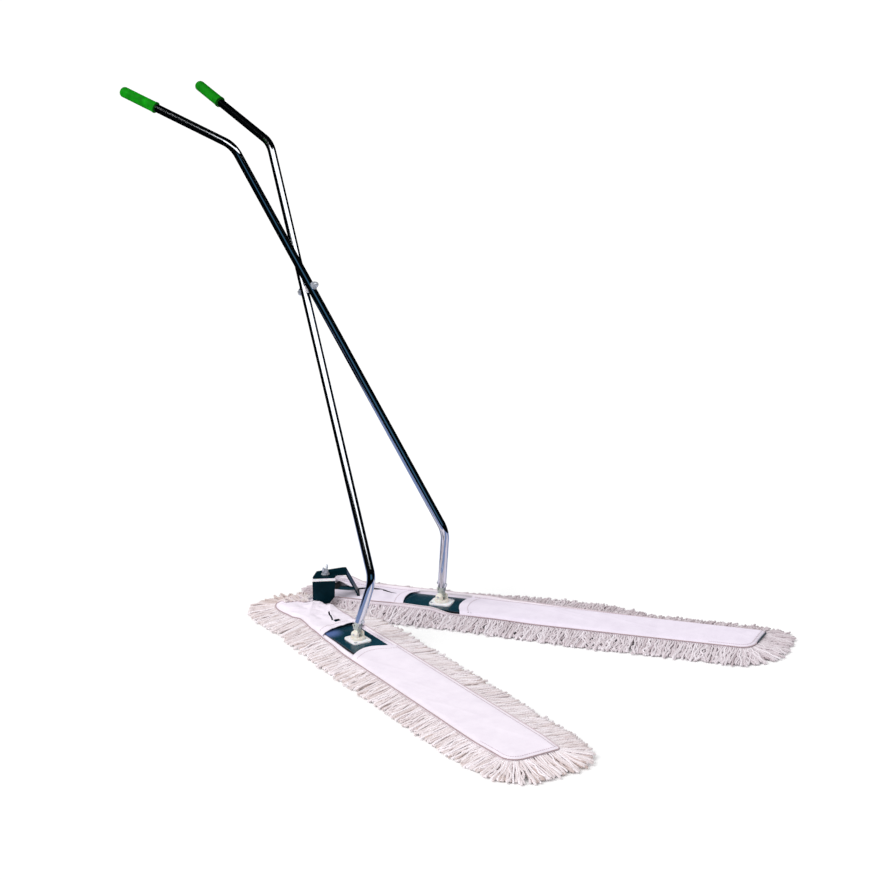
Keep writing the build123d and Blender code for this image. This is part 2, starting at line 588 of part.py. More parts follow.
def upper_bracket():
    """Far mop's bracket: a leaf over the spacer and a strap that slopes down to a foot on the frame."""
    end = STRAP_BEND - 8
    leaf = make_face(Polyline((-UPRIGHT_BACK, -UPRIGHT_SETOFF), (UPRIGHT_FRONT - 1, -UPRIGHT_SETOFF),
                              (UPRIGHT_FRONT + 4, STRAP_LOW), (end, STRAP_LOW), (end, STRAP_HIGH),
                              (11 - UPRIGHT_BACK, LEAF_DEPTH + 6), close=True))
    leaf = fillet([v for v in leaf.vertices() if v.X < end - 1], LEAF_CORNER)
    body = Pos(0, 0, UPPER_LEAF) * extrude(leaf, PLATE)
    across = Plane((0, STRAP_HIGH, 0), x_dir=(1, 0, 0), z_dir=(0, -1, 0))
    body += across * extrude(strap_side(), STRAP_HIGH - STRAP_LOW)
    body = Rot(0, 0, UPRIGHT_TURN) * body - hinge_bore()
    for x, y in upper_rivets():
        body -= far_side(upright_cylinder(x, y, 0, THROUGH, 2))
    return body


def upper_opening():
    """Slot in the far pocket round the strap, in the far mop's own axes."""
    slot = box((STRAP_LANDING - 14, STRAP_LOW - 2, 0), (STRAP_LANDING + 2.5, STRAP_HIGH + 2, THROUGH))
    return Rot(0, 0, UPRIGHT_TURN - HALF_V) * slot


def wing_nut():
    """Nut with two upright ears."""
    low = WASHER_BOTTOM + 1.6 + GAP
    body = upright_cylinder(0, 0, low, low + 9, 7.5)
    ear = Plane((0, 1.6, low), x_dir=(1, 0, 0), z_dir=(0, -1, 0)) * make_face(Polyline(
        (3, 2), (7, 2), (13.5, 10), (14, 17), (11.5, 19), (8.5, 16), (5.5, 9), (3, 9), close=True))
    ear = extrude(ear, 3.2)
    body += ear + mirror(ear, about=Plane.YZ)
    return Rot(0, 0, WING_TURN) * (body - hinge_bore())


def hinge_parts():
    """The fasteners at the apex and the spacer between the two leaves."""
    spacer = prism(lower_plan(), SPACER_BOTTOM, SPACER_BOTTOM + SPACER_HEIGHT)
    head = Pos(0, 0, LEAF_HEIGHT - 5.3) * extrude(hexagon(13), 5.3)
    washer = upright_cylinder(0, 0, WASHER_BOTTOM, WASHER_BOTTOM + 1.6, 10)
    return {
        "hinge_spacer": Rot(0, 0, UPRIGHT_TURN) * spacer - hinge_bore(),
        "hinge_bolt": head + upright_cylinder(0, 0, LEAF_HEIGHT - 1, WASHER_BOTTOM + 13, BOLT_RADIUS),
        "hinge_washer": washer - hinge_bore(),
        "hinge_wing_nut": wing_nut(),
    }


# Assembly

def build():
    """Every named piece in place."""
    nodes = {}
    near_holes = base_rivets() + lower_rivets()
    far_holes = base_rivets() + upper_rivets()
    for name, shape in sleeve_parts(NEAR_SLEEVE, lower_opening()).items():
        nodes["near_" + name] = near_side(shape)
    for name, shape in sleeve_parts(FAR_SLEEVE, upper_opening()).items():
        nodes["far_" + name] = far_side(shape)
    gap = Vector(0, GAP, 0)
    nodes["near_fringe"] = nodes["near_fringe"] & Pos(gap * -1) * apex_share(True)
    nodes["far_fringe"] = nodes["far_fringe"] & Pos(gap) * apex_share(False)

    nodes["near_frame"] = near_side(frame_plate(NEAR_LAP, STUD_RADIUS + FIT, near_holes))
    nodes["far_frame"] = far_side(frame_plate(FAR_LAP, STUD_RADIUS + FAR_PLAY, far_holes))
    nodes["near_swivel_base"] = near_side(swivel_base(STUD_RADIUS + FIT))
    nodes["far_swivel_base"] = far_side(swivel_base(STUD_RADIUS + FAR_PLAY))
    nodes["near_base_rivets"], nodes["far_base_rivets"] = both(rivets(base_rivets(), BASE_TOP))
    nodes["near_swivel_stud"] = near_side(stud(9))
    nodes["far_swivel_stud"] = far_side(stud(STUD_RADIUS + FAR_PLAY + 6))
    nodes["near_bracket"] = lower_bracket()
    for x, y in lower_rivets():
        nodes["near_bracket"] -= near_side(upright_cylinder(x, y, 0, LEAF_HEIGHT - 1, 2))
    nodes["near_bracket_rivets"] = near_side(rivets(lower_rivets(), FRAME_TOP + PLATE))
    nodes["far_bracket"] = upper_bracket()
    nodes["far_bracket_rivets"] = far_side(rivets(upper_rivets(), FRAME_TOP + PLATE))
    nodes.update(hinge_parts())

    pin = cylinder(LEAN_POINT - SIDE_DIR * (PIN_LENGTH / 2), SIDE_DIR, PIN_RADIUS, PIN_LENGTH)
    lower = {"turret": turret(), "lean_pin": pin, "knuckle": knuckle(), "scissor_bolt": scissor_bolt()}
    for name, shape in lower.items():
        nodes["near_" + name], nodes["far_" + name] = twins(shape)
    for name, draw in (("fork", fork), ("fork_rivet", cross_rivet)):
        nodes["near_" + name], nodes["far_" + name] = mirror(draw(NEAR_BEND), about=Plane.XZ), draw(FAR_BEND)
    for side, word in ((-1, "near_"), (1, "far_")):
        nodes[word + "tube"] = handle_tube(side)
        nodes[word + "grip"] = grip(side)
    nodes.update(cross_parts())
    return nodes


def middle_of(nodes):
    """The floor point under the middle of the box round every piece."""
    boxes = [shape.bounding_box() for shape in nodes.values()]
    low = [min(b.min.X for b in boxes), min(b.min.Y for b in boxes)]
    high = [max(b.max.X for b in boxes), max(b.max.Y for b in boxes)]
    return Vector((low[0] + high[0]) / 2, (low[1] + high[1]) / 2, 0)


os.makedirs("parts", exist_ok=True)
pieces = build()
move = Pos(middle_of(pieces) * -1)
for node, shape in pieces.items():
    export_step(move * shape, f"parts/{node}.step")
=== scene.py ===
# %% [markdown]
# A V-shaped dust mop: two cotton sleeve mops hinged at the apex, worked by two crossed chrome handles. The
# hard pieces come ready from the imported frame, at their true size and place. This lesson dresses them:
# canvas, seams, thousands of yarn ends, and a finish for every metal and plastic piece. The first cell
# loads the frame and reads the box of any of its parts.

# %% Load the imported frame
import json
import bmesh
import bpy
import numpy as np
from mathutils import Matrix, Vector


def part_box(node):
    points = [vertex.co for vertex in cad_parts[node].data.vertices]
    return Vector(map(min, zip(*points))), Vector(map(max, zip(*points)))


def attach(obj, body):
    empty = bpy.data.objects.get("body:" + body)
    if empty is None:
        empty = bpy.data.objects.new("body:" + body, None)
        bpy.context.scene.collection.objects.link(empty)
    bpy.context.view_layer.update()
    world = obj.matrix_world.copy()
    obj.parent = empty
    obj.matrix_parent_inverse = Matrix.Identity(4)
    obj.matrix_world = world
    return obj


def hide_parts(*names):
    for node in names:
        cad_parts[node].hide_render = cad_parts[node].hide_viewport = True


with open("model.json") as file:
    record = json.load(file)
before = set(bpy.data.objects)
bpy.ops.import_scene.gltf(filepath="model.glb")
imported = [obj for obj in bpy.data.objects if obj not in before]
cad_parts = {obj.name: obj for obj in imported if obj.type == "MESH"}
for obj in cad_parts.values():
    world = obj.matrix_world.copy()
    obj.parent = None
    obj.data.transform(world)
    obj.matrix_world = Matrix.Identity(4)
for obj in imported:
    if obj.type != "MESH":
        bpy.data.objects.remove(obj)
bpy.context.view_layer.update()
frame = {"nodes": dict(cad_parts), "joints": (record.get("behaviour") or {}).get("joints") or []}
JOINTS = {j["name"]: np.array(j["pos_m"]) * 1000 for j in frame["joints"]}

# %% [markdown]
# Both mops are the same thing turned two ways about the hinge, so every soft piece is worked out once in a
# mop's own axes and then turned into place. Those axes are s, along the mop from the hinge, t, outward from
# the hinge, and z, up from the floor, all in millimetres. The frame's joints tell where the hinge and the
# swivels are, and a mop's centre line passes a fixed distance outside the hinge.

# %% A mop's own axes
CENTRE_OFFSET = 62.0
HINGE = JOINTS["apex_hinge"]
SWIVEL = {"near": JOINTS["near_swivel"] - HINGE, "far": JOINTS["far_lean"] - HINGE}
WAY = {"near": -1, "far": 1}
TURN = {}
for side, (x, y, _) in SWIVEL.items():
    TURN[side] = WAY[side] * (np.arctan2(abs(y), x) - np.arcsin(CENTRE_OFFSET / np.hypot(x, y)))


def on_mop(side, s, t, z):
    """Points in metres from a mop's s, t, z in mm: s along the turned axis, t along its outward normal."""
    s, t, z = np.broadcast_arrays(s, t, z)
    cos, sin = np.cos(TURN[side]), np.sin(TURN[side])
    x = HINGE[0] + s * cos - t * WAY[side] * sin
    y = HINGE[1] + s * sin + t * WAY[side] * cos
    return np.stack([x, y, z], -1) / 1000


def off_mop(side, points):
    """The inverse of on_mop: s, t, z in mm from points in metres."""
    x, y, z = (np.asarray(points) * 1000 - HINGE * (1, 1, 0)).T
    cos, sin = np.cos(TURN[side]), np.sin(TURN[side])
    return x * cos + y * sin, (y * cos - x * sin) * WAY[side], z


def node_points(name):
    """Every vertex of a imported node, in metres."""
    flat = np.empty(len(frame["nodes"][name].data.vertices) * 3, np.float32)
    frame["nodes"][name].data.vertices.foreach_get("co", flat)
    return flat.reshape(-1, 3)


print("mops turned", {side: round(float(np.degrees(a)), 2) for side, a in TURN.items()})

# %% [markdown]
# The seam is the line where canvas, edge tape and yarn are sewn together: a long rectangle whose corners
# are rounded. It isn't true: one corner of each free end was sewn rounder than the other, the far end runs
# a little askew, and near the windows, where nothing holds the edge down, the loose sleeve strays sideways
# and lifts. So the seam is worked out straight first and then eased, by amounts given at a few places along
# each side and joined by smooth steps.

# %% The seam
SLEEVE = {}
for side in WAY:
    s, t, _ = off_mop(side, node_points(f"{side}_yarn_pad"))
    SLEEVE[side] = [float(v) for v in (s.min(), s.max(), t.min(), t.max())]
# Corner radii: inner and outer at the apex, inner and outer at the free end
ROUND = {"near": (40, 42, 9, 34), "far": (40, 40, 34, 9)}
# How far the inner corner of the free end is drawn back, and the length that is drawn with it
ASKEW = {"near": 0.0, "far": 10.0}
ASKEW_LENGTH = 150.0
# Millimetres outward at places along the inner and the outer side
STRAY = {"near": (((-58, 0), (60, 4), (900, 4), (978, 0)),
                  ((-20, 0), (44, -3), (85, -9), (150, -5), (230, -1), (320, 4), (420, 10), (650, 11),
                   (850, 12), (960, 6))),
         "far": (((-20, 0), (100, -4), (190, -9), (240, -6), (340, -9), (400, -3), (520, 1), (680, 7),
                  (1000, 4)),
                 ((-20, 0), (1016, 0)))}
# Millimetres upward at places along the inner and the outer side
LIFT = {"near": (((-58, 1), (60, 2), (200, 3), (330, 5), (900, 5), (978, 4)),
                 ((-58, 4), (0, 1), (44, 3), (85, 7), (150, 4), (230, 2), (320, 0), (420, 5), (900, 5),
                  (978, 4))),
        "far": (((-20, 9), (30, 13), (140, 12), (250, 12), (310, 0), (345, 0), (400, 2), (520, 1), (680, 4),
                 (1000, 4)),
                ((-20, 26), (14, 24), (56, 13), (180, 13), (360, 13), (433, 9), (580, 6), (720, 3), (850, 1),
                 (1016, 0)))}
ARC_STEPS = 25


def smooth_step(x, low, high):
    """0 below low, 1 above high, and 3f^2 - 2f^3 between."""
    f = np.clip((x - low) / (high - low), 0, 1)
    return f * f * (3 - 2 * f)


def along_side(places, s):
    """A value that goes by smooth steps from each (place, value) to the next."""
    return places[0][1] + sum((v - u) * smooth_step(s, a, b) for (a, u), (b, v) in zip(places, places[1:]))


def outer_share(side, t):
    """0 on the inner side of a mop, 1 on the outer side."""
    return np.clip((t - SLEEVE[side][2]) / (SLEEVE[side][3] - SLEEVE[side][2]), 0, 1)


def eased(side, s, t):
    """s and t of the straight sleeve moved to where the loose one lies."""
    share = outer_share(side, t)
    inward, outward = (along_side(places, s) for places in STRAY[side])
    drawn = np.clip((s - SLEEVE[side][1] + ASKEW_LENGTH) / ASKEW_LENGTH, 0, 1)
    return s + ASKEW[side] * drawn**2 * (share - 1), t + outward * share - inward * (1 - share)


def lifted(side, s, t):
    """How far the loose seam lies above its usual level."""
    share = outer_share(side, t)
    inner, outer = (along_side(places, s) for places in LIFT[side])
    return outer * share + inner * (1 - share)


def seam(side, count, grow=0.0):
    """Even steps round the straight seam moved outward by grow: four quarter arcs and the runs between them.

    Returns s, t, the angle of the outward normal, from -90 degrees at the inner side to 270, and the whole
    length.
    """
    s0, s1, t0, t1 = SLEEVE[side]
    apex_in, apex_out, tip_in, tip_out = ROUND[side]
    turn = np.linspace(0, np.pi / 2, ARC_STEPS)
    corners = ((s1 - tip_in, t0 + tip_in, tip_in), (s1 - tip_out, t1 - tip_out, tip_out),
               (s0 + apex_out, t1 - apex_out, apex_out), (s0 + apex_in, t0 + apex_in, apex_in))
    angle = np.concatenate([turn + quarter * np.pi / 2 for quarter in (-1, 0, 1, 2)])
    centre_s, centre_t, radius = np.repeat(corners, ARC_STEPS, axis=0).T
    x = centre_s + (radius + grow) * np.cos(angle)
    y = centre_t + (radius + grow) * np.sin(angle)
    x, y, angle = np.append(x, x[0]), np.append(y, y[0]), np.append(angle, 1.5 * np.pi)
    run = np.concatenate([[0], np.cumsum(np.hypot(np.diff(x), np.diff(y)))])
    at = np.arange(count) * run[-1] / count
    return *(np.interp(at, run, along) for along in (x, y, angle)), run[-1]


def inset(side, s, t):
    """Distance inward from the seam: the rounded-box distance with the radius of the nearest corner."""
    s0, s1, t0, t1 = SLEEVE[side]
    apex_in, apex_out, tip_in, tip_out = ROUND[side]
    outer, tipward = t > (t0 + t1) / 2, s > (s0 + s1) / 2
    r = np.where(tipward, np.where(outer, tip_out, tip_in), np.where(outer, apex_out, apex_in))
    past_s = np.abs(s - (s0 + s1) / 2) - (s1 - s0) / 2 + r
    past_t = np.abs(t - (t0 + t1) / 2) - (t1 - t0) / 2 + r
    in_corner = np.hypot(np.maximum(past_s, 0), np.maximum(past_t, 0))
    return r - in_corner - np.minimum(np.maximum(past_s, past_t), 0)


for side in WAY:
    print(side, "sleeve", [round(v, 1) for v in SLEEVE[side]], "seam length", round(seam(side, 100)[3]))

# %% [markdown]
# Every new piece goes into Blender the same way: points and faces as whole arrays, smooth shading, a
# finish, a body to ride on. A surface on a grid needs the same index pattern each time, so that is written
# once too. The near mop is the far one's mirror image in plan, so a face that points up on one would point
# down on the other: its corners are taken the other way round. Cloth and tube walls get their thickness
# from a Solidify modifier, inward.

# %% Arrays to pieces
def grid_faces(rows, columns, close_rows=False, close_columns=False):
    """Quads of a grid whose points are numbered row by row, wrapping round where a direction is closed."""
    r, c = np.meshgrid(np.arange(rows if close_rows else rows - 1),
                       np.arange(columns if close_columns else columns - 1), indexing="ij")
    below, beside = (r + 1) % rows, (c + 1) % columns
    corners = [r * columns + c, r * columns + beside, below * columns + beside, below * columns + c]
    return np.stack(corners, -1).reshape(-1, 4)


def mirrored(side, faces):
    """Faces written for the far mop, turned over for the near one."""
    return faces[:, ::-1] if side == "near" else faces


def thicken(made, name, thickness):
    """A wall of a thickness in mm, grown inward from the piece's surface."""
    wall = made.modifiers.new(name, "SOLIDIFY")
    wall.thickness, wall.offset = thickness / 1000, -1


def piece(name, points, faces, finish, body, maps=None, values=None):
    """A mesh piece from points (n, 3) in metres and face arrays of 3 or 4 corners, riding on a body.

    maps holds UV maps as one (n, 2) array each, by points or by the faces' corners, and values holds one
    number a point.
    """
    faces = faces if isinstance(faces, list) else [faces]
    mesh = bpy.data.meshes.new(name)
    corners = np.concatenate([f.ravel() for f in faces]).astype(np.int32)
    sizes = np.concatenate([np.full(len(f), f.shape[1]) for f in faces])
    mesh.vertices.add(len(points))
    mesh.vertices.foreach_set("co", np.asarray(points, np.float32).ravel())
    mesh.loops.add(len(corners))
    mesh.loops.foreach_set("vertex_index", corners)
    mesh.polygons.add(len(sizes))
    mesh.polygons.foreach_set("loop_start", np.concatenate([[0], np.cumsum(sizes)[:-1]]).astype(np.int32))
    mesh.update(calc_edges=True)
    mesh.polygons.foreach_set("use_smooth", np.ones(len(sizes), bool))
    for label, uv in (maps or {}).items():
        uv = uv[corners] if len(uv) == len(points) else uv
        mesh.uv_layers.new(name=label).data.foreach_set("uv", np.asarray(uv, np.float32).ravel())
    for label, numbers in (values or {}).items():
        layer = mesh.attributes.new(label, "FLOAT", "POINT")
        layer.data.foreach_set("value", np.asarray(numbers, np.float32).ravel())
    made = bpy.data.objects.new(name, mesh)
    bpy.context.scene.collection.objects.link(made)
    made.data.materials.append(finish)
    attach(made, body)
    return made


# %% [markdown]
# Finishes are node trees. One function turns the sRGB hex colours into the linear numbers that shaders use,
# one adds a node, and a few short ones add the kinds that most finishes need. An input is set where it is
# given a plain value and linked where it is given another node's socket. Patterns are measured in metres on
# the piece's own coordinates. A wave texture repeats after 0.314 / scale, and a noise after about
# 1 / scale.

# %% Colour and node helpers
# Length over which a wave texture of scale 1 repeats
WAVE = 0.314


def linear(code):
    """Linear RGBA of an sRGB hex colour: c / 12.92 when dark, else ((c + 0.055) / 1.055) to the power 2.4."""
    c = np.array([int(code[i:i + 2], 16) for i in (1, 3, 5)]) / 255
    return (*np.where(c <= 0.04045, c / 12.92, ((c + 0.055) / 1.055) ** 2.4).tolist(), 1.0)


def put(tree, node, inputs):
    """Sets each of a node's inputs to a plain value, or links a socket to it."""
    for key, value in inputs.items():
        if isinstance(value, bpy.types.NodeSocket):
            tree.links.new(value, node.inputs[key])
        else:
            node.inputs[key].default_value = value


def add(tree, kind, inputs=None, **settings):
    """A new node of a kind, with its settings and its inputs."""
    made = tree.nodes.new(kind)
    for key, value in settings.items():
        setattr(made, key, value)
    put(tree, made, inputs or {})
    return made


def own_place(tree):
    """The piece's own coordinates."""
    return add(tree, "ShaderNodeTexCoord").outputs["Object"]


def noise(tree, place, scale, detail, rough=0.5):
    """Cloudy numbers from 0 to 1."""
    return add(tree, "ShaderNodeTexNoise", {"Vector": place, "Scale": scale, "Detail": detail,
                                            "Roughness": rough}).outputs["Fac"]


def ramp(tree, share, *stops):
    """The colour at a share between two stops, each a place and a hex colour."""
    made = add(tree, "ShaderNodeValToRGB", {"Fac": share})
    for number, (place, code) in enumerate(stops):
        made.color_ramp.elements[number].position = place
        made.color_ramp.elements[number].color = linear(code)
    return made.outputs["Color"]


def mix(tree, share, under, over):
    """Two colours mixed by the share of the second."""
    return add(tree, "ShaderNodeMix", {"Factor": share, "A": under, "B": over},
               data_type="RGBA").outputs["Result"]


def ranged(tree, value, first, last, low=0.0, high=1.0, easing="LINEAR"):
    """A number that goes from first to last while the value goes from low to high."""
    return add(tree, "ShaderNodeMapRange", {"Value": value, "From Min": low, "From Max": high,
                                            "To Min": first, "To Max": last},
               interpolation_type=easing).outputs["Result"]


def bumped(tree, height, strength, distance):
    """The surface's normal, tilted by a number that stands for height."""
    return add(tree, "ShaderNodeBump", {"Height": height, "Strength": strength,
                                        "Distance": distance}).outputs["Normal"]


def wear(tree, **sockets):
    """Sets or links sockets of a finish's Principled shader, named with _ for a space."""
    put(tree, tree.nodes["Principled BSDF"], {key.replace("_", " "): value for key, value in sockets.items()})


def new_finish(name, **sockets):
    """A material and its node tree, with sockets of its shader set."""
    made = bpy.data.materials.new(name)
    made.use_nodes = True
    wear(made.node_tree, **sockets)
    return made, made.node_tree


# %% [markdown]
# Canvas is bleached cotton duck, a plain weave. Its threads lie about 0.8 mm apart, which is far below a
# pixel here, so the weave is drawn 2.4 mm apart to show at all. Cotton has no gloss, only a little sheen,
# and the cloth is unevenly thick, which gives it a faint cloudiness. The weave follows the cloth's own map,
# laid out in metres. A number on the cloth, where it has one, says how much near-black painted shade is mixed
# in.

# %% Cotton duck
def cotton_duck(name, pale, dark, thread=0.0024):
    """Two crossed waves for the weave, a noise for uneven thickness, and painted shade mixed in by the soil
    number.
    """
    finish, tree = new_finish(name, Roughness=0.92, Specular_IOR_Level=0.12, Sheen_Weight=0.12,
                              Sheen_Roughness=0.6)
    cloth = add(tree, "ShaderNodeUVMap", uv_map="cloth").outputs["UV"]
    # Thick and thin places about 36 mm across
    cloud = noise(tree, cloth, 28.0, 5.0, 0.6)
    warp, weft = (add(tree, "ShaderNodeTexWave", {"Vector": cloth, "Scale": WAVE / thread, "Distortion": 0.6,
                                                  "Detail Scale": 0.4}, bands_direction=way).outputs["Fac"]
                  for way in "XY")
    weave = add(tree, "ShaderNodeMath", {0: warp, 1: weft}, operation="MULTIPLY").outputs[0]
    share = add(tree, "ShaderNodeMath", {0: weave, 1: 0.35, 2: cloud}, operation="MULTIPLY_ADD").outputs[0]
    soil = add(tree, "ShaderNodeAttribute", attribute_name="soil").outputs["Fac"]
    # Painted shade: near black mixed in by the number, for the shaded inside of the far mouth
    paint = mix(tree, soil, ramp(tree, share, (0.22, dark), (0.72, pale)), linear("#0C1712"))
    wear(tree, Base_Color=paint, Normal=bumped(tree, weave, 0.35, 0.0004))
    return finish


# The far canvas is a darker copy of the same cloth: painted shade for the far mop, which lies more in shade
CANVAS = {"near": cotton_duck("bleached_cotton_duck", "#F7EEF9", "#EAE0ED"),
          "far": cotton_duck("cotton_duck_shaded_copy", "#F0E7F5", "#E2D8E8")}
TAPE = cotton_duck("cotton_edge_tape", "#F8F0F7", "#E6DAE3", thread=0.0016)
print("cloth finishes", [f.name for f in (*CANVAS.values(), TAPE)])

# %% [markdown]
# Mop yarn is soft twisted cotton, natural white with a trace of pink. Each yarn is a few plies wound round
# each other, so the map of a yarn runs round it and along it, and one slanting wave on that map draws the
# plies, once as painted shade in the grooves between them and once as a bump. A number on each yarn makes
# some a little darker than others, partly at random and partly as painted shade.

# %% Cotton yarn
def cotton_yarn(name, pale, dark, groove):
    """One slanting wave for painted shade in the grooves between plies, over a colour picked by the yarn's
    tone number.
    """
    finish, tree = new_finish(name, Roughness=0.95, Specular_IOR_Level=0.08, Sheen_Weight=0.15,
                              Sheen_Roughness=0.6)
    ply = add(tree, "ShaderNodeUVMap", uv_map="ply").outputs["UV"]
    tone = add(tree, "ShaderNodeAttribute", attribute_name="tone").outputs["Fac"]
    lay = add(tree, "ShaderNodeTexWave", {"Vector": ply, "Scale": 2 * WAVE, "Distortion": 0.5},
              bands_direction="DIAGONAL").outputs["Fac"]
    # Painted shade: the groove colour darkens the yarn where the wave dips between plies
    deep = ranged(tree, lay, 0.45, 0.0, 0.0, 0.55)
    paint = mix(tree, deep, mix(tree, tone, linear(dark), linear(pale)), linear(groove))
    wear(tree, Base_Color=paint, Normal=bumped(tree, lay, 0.6, 0.0006))
    return finish


# The far yarn is a darker copy of the same yarn: painted shade for the far mop, which lies more in shade
YARN = {"near": cotton_yarn("twisted_cotton_yarn", "#FFF8FD", "#C8B4AE", "#DCCDD0"),
        "far": cotton_yarn("cotton_yarn_shaded_copy", "#FAF4FA", "#C0B1B6", "#D4C7CE")}
THREAD = cotton_yarn("sewing_thread", "#E4D6DE", "#A88E92", "#A58B8F")
print("yarn finishes", [f.name for f in (*YARN.values(), THREAD)])

# %% [markdown]
# Cloth and yarn are never quite even. A smooth noise gives both their unevenness: random numbers on a
# lattice, joined by smooth steps. The numbers come from a fixed seed, so every run makes the same mop.

# %% Unevenness
CELLS = 96
LATTICE = np.random.default_rng(17).random((CELLS, CELLS))


def blended(grid, i, j, next_i, next_j, f, g):
    """Value between four places of a grid: f of the way to the next row and g to the next column."""
    here = grid[i, j] * (1 - f) + grid[next_i, j] * f
    beyond = grid[i, next_j] * (1 - f) + grid[next_i, next_j] * f
    return here * (1 - g) + beyond * g


def smooth_noise(x, y):
    """Noise from 0 to 1: lattice values at a unit cell's four corners, blended by smooth steps each way."""
    i, j = np.floor(x).astype(int), np.floor(y).astype(int)
    f, g = smooth_step(x - i, 0, 1), smooth_step(y - j, 0, 1)
    return blended(LATTICE, i % CELLS, j % CELLS, (i + 1) % CELLS, (j + 1) % CELLS, f, g)


print("lattice of", LATTICE.size, "numbers")

# %% [markdown]
# The sleeve is two canvas pockets that the steel frame slides into, with a window between them over the
# swivel. Each pocket is one sheet: a grid whose lines run along the mop between two edge curves, high over
# the frame and falling to the seam at its sides. Cloth this tight only ripples, so the ripples are noise
# drawn out along the mop, and they only rise, because the frame is right underneath.

# %% Canvas shape
FRAME_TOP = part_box("near_frame")[1].z * 1000
CLOTH_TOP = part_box("near_base_cloth")[1].z * 1000
EDGE_LEVEL = CLOTH_TOP + 1.2
CLOTH = 0.9
SLACK = 0.5
SHEETS, LEVELS = {}, {}
# Free edges of the pockets: s at places across the mop
WINDOW = {"near_apex": ((5, 198), (20, 189), (40, 181), (60, 180), (75, 183), (90, 186), (104, 190),
                        (119, 198)),
          "near_tip": ((5, 342), (20, 336), (42, 326), (58, 319), (72, 317), (85, 322), (97, 330),
                       (119, 348)),
          "far_apex": ((5, 186), (25, 181), (45, 177), (70, 175), (92, 178), (104, 186), (119, 200)),
          "far_tip": ((5, 328), (20, 320), (39, 314), (59, 311), (87, 312), (102, 318), (119, 330))}


def window_edge(key, t):
    """s of a pocket's free edge, by smooth steps from place to place, evened out over 12 mm either way."""
    return sum(along_side(WINDOW[key], t + shift) for shift in (-12, -6, 0, 6, 12)) / 5


def end_edge(side, t, tip):
    """s of the seam at an end of the sleeve, following the rounded corners."""
    s0, s1, t0, t1 = SLEEVE[side]
    inner, outer = ROUND[side][2:] if tip else ROUND[side][:2]
    r = np.where(t > CENTRE_OFFSET, outer, inner)
    depth = np.minimum(np.where(t > CENTRE_OFFSET, t1 - t, t - t0), r)
    fall = r - np.sqrt(np.maximum(r**2 - (r - depth) ** 2, 0))
    return s1 - fall if tip else s0 + fall


def ripples(s, t, size):
    """Rising folds drawn out along the mop: the sharpened middle of a noise 150 mm long and 26 mm wide."""
    fold = 1 - np.abs(2 * smooth_noise(s / 150 + 7.3, t / 26 + 0.012 * s + 3.1) - 1)
    return size * fold**3 + 0.5 * size * smooth_noise(s / 46, t / 38)


def crowded(side, columns, margin=0.0):
    """Places across a mop, crowded toward both seams: even steps mixed with those of a half cosine."""
    share = np.linspace(0, 1, columns)
    t0, t1 = SLEEVE[side][2:]
    return t0 + margin + (t1 - t0 - 2 * margin) * (0.35 * share + 0.65 * (1 - np.cos(np.pi * share)) / 2)


def pocket_edges(side, part, t):
    """s of a pocket's free edge and of its sewn one."""
    return window_edge(f"{side}_{part}", t), end_edge(side, t, part == "tip")


def between(first, last, t, rows, trim=0.0):
    """Grid of s and t: s in even steps from one edge curve to the other, less a trimmed share at both."""
    s = first + (last - first) * np.linspace(trim, 1 - trim, rows)[:, None]
    return s, np.broadcast_to(t, s.shape)


def pocket_points(side, part, rows, columns=61):
    """Grid of a pocket: t crowded toward both seams, s between the pocket's two edges."""
    t = crowded(side, columns)
    return between(*pocket_edges(side, part, t), t, rows)


def pocket_height(side, s, t, lift):
    """Level of the cloth: up a quarter sine from the seam to the frame's top 13 mm in, and what is under."""
    d = inset(side, s, t)
    rise = np.sin(np.clip(d / 13, 0, 1) * np.pi / 2)
    edge, top = EDGE_LEVEL + lifted(side, s, t), FRAME_TOP + SLACK + CLOTH + lift
    return edge + (top - edge) * rise + smooth_step(d, 4, 26) * ripples(s, t, 0.9)


def cloth_level(side, part, s, t):
    """Level of a pocket's cloth at s, t, from the four nearest places of its grid."""
    level = LEVELS[side, part]
    rows, columns = level.shape
    column = np.interp(t, crowded(side, columns), np.arange(columns))
    free, sewn = pocket_edges(side, part, t)
    row = np.clip((s - free) / (sewn - free), 0, 1) * (rows - 1)
    i, j = np.minimum(row.astype(int), rows - 2), np.minimum(column.astype(int), columns - 2)
    return blended(level, i, j, i + 1, j + 1, row - i, column - j)


def on_loose(side, s, t, z):
    """Points in metres of a surface on the loose sleeve, one row for each."""
    return on_mop(side, *eased(side, s, t), z).reshape(-1, 3)


def cloth_map(s, t):
    """The cloth's own map, in metres along and across it."""
    return {"cloth": np.stack([s, t], -1).reshape(-1, 2) / 1000}


def cut_slot(mesh, corner, along, length, width):
    """Cuts the cloth along the four upright planes of a rectangle in plan and takes out what lies inside."""
    bm = bmesh.new()
    bm.from_mesh(mesh)
    along = np.array(along) / np.hypot(*along)
    across = np.array([-along[1], along[0]])
    for way, size in ((along, length), (across, width)):
        for step in (0, size):
            bmesh.ops.bisect_plane(bm, geom=bm.verts[:] + bm.edges[:] + bm.faces[:],
                                   plane_co=(*(np.array(corner) + way * step), 0), plane_no=(*way, 0))
    inside = []
    for face in bm.faces:
        off = np.array(face.calc_center_median()[:2]) - corner
        if 0 < off @ along < length and 0 < off @ across < width:
            inside.append(face)
    bmesh.ops.delete(bm, geom=inside, context="FACES")
    bm.to_mesh(mesh)
    bm.free()


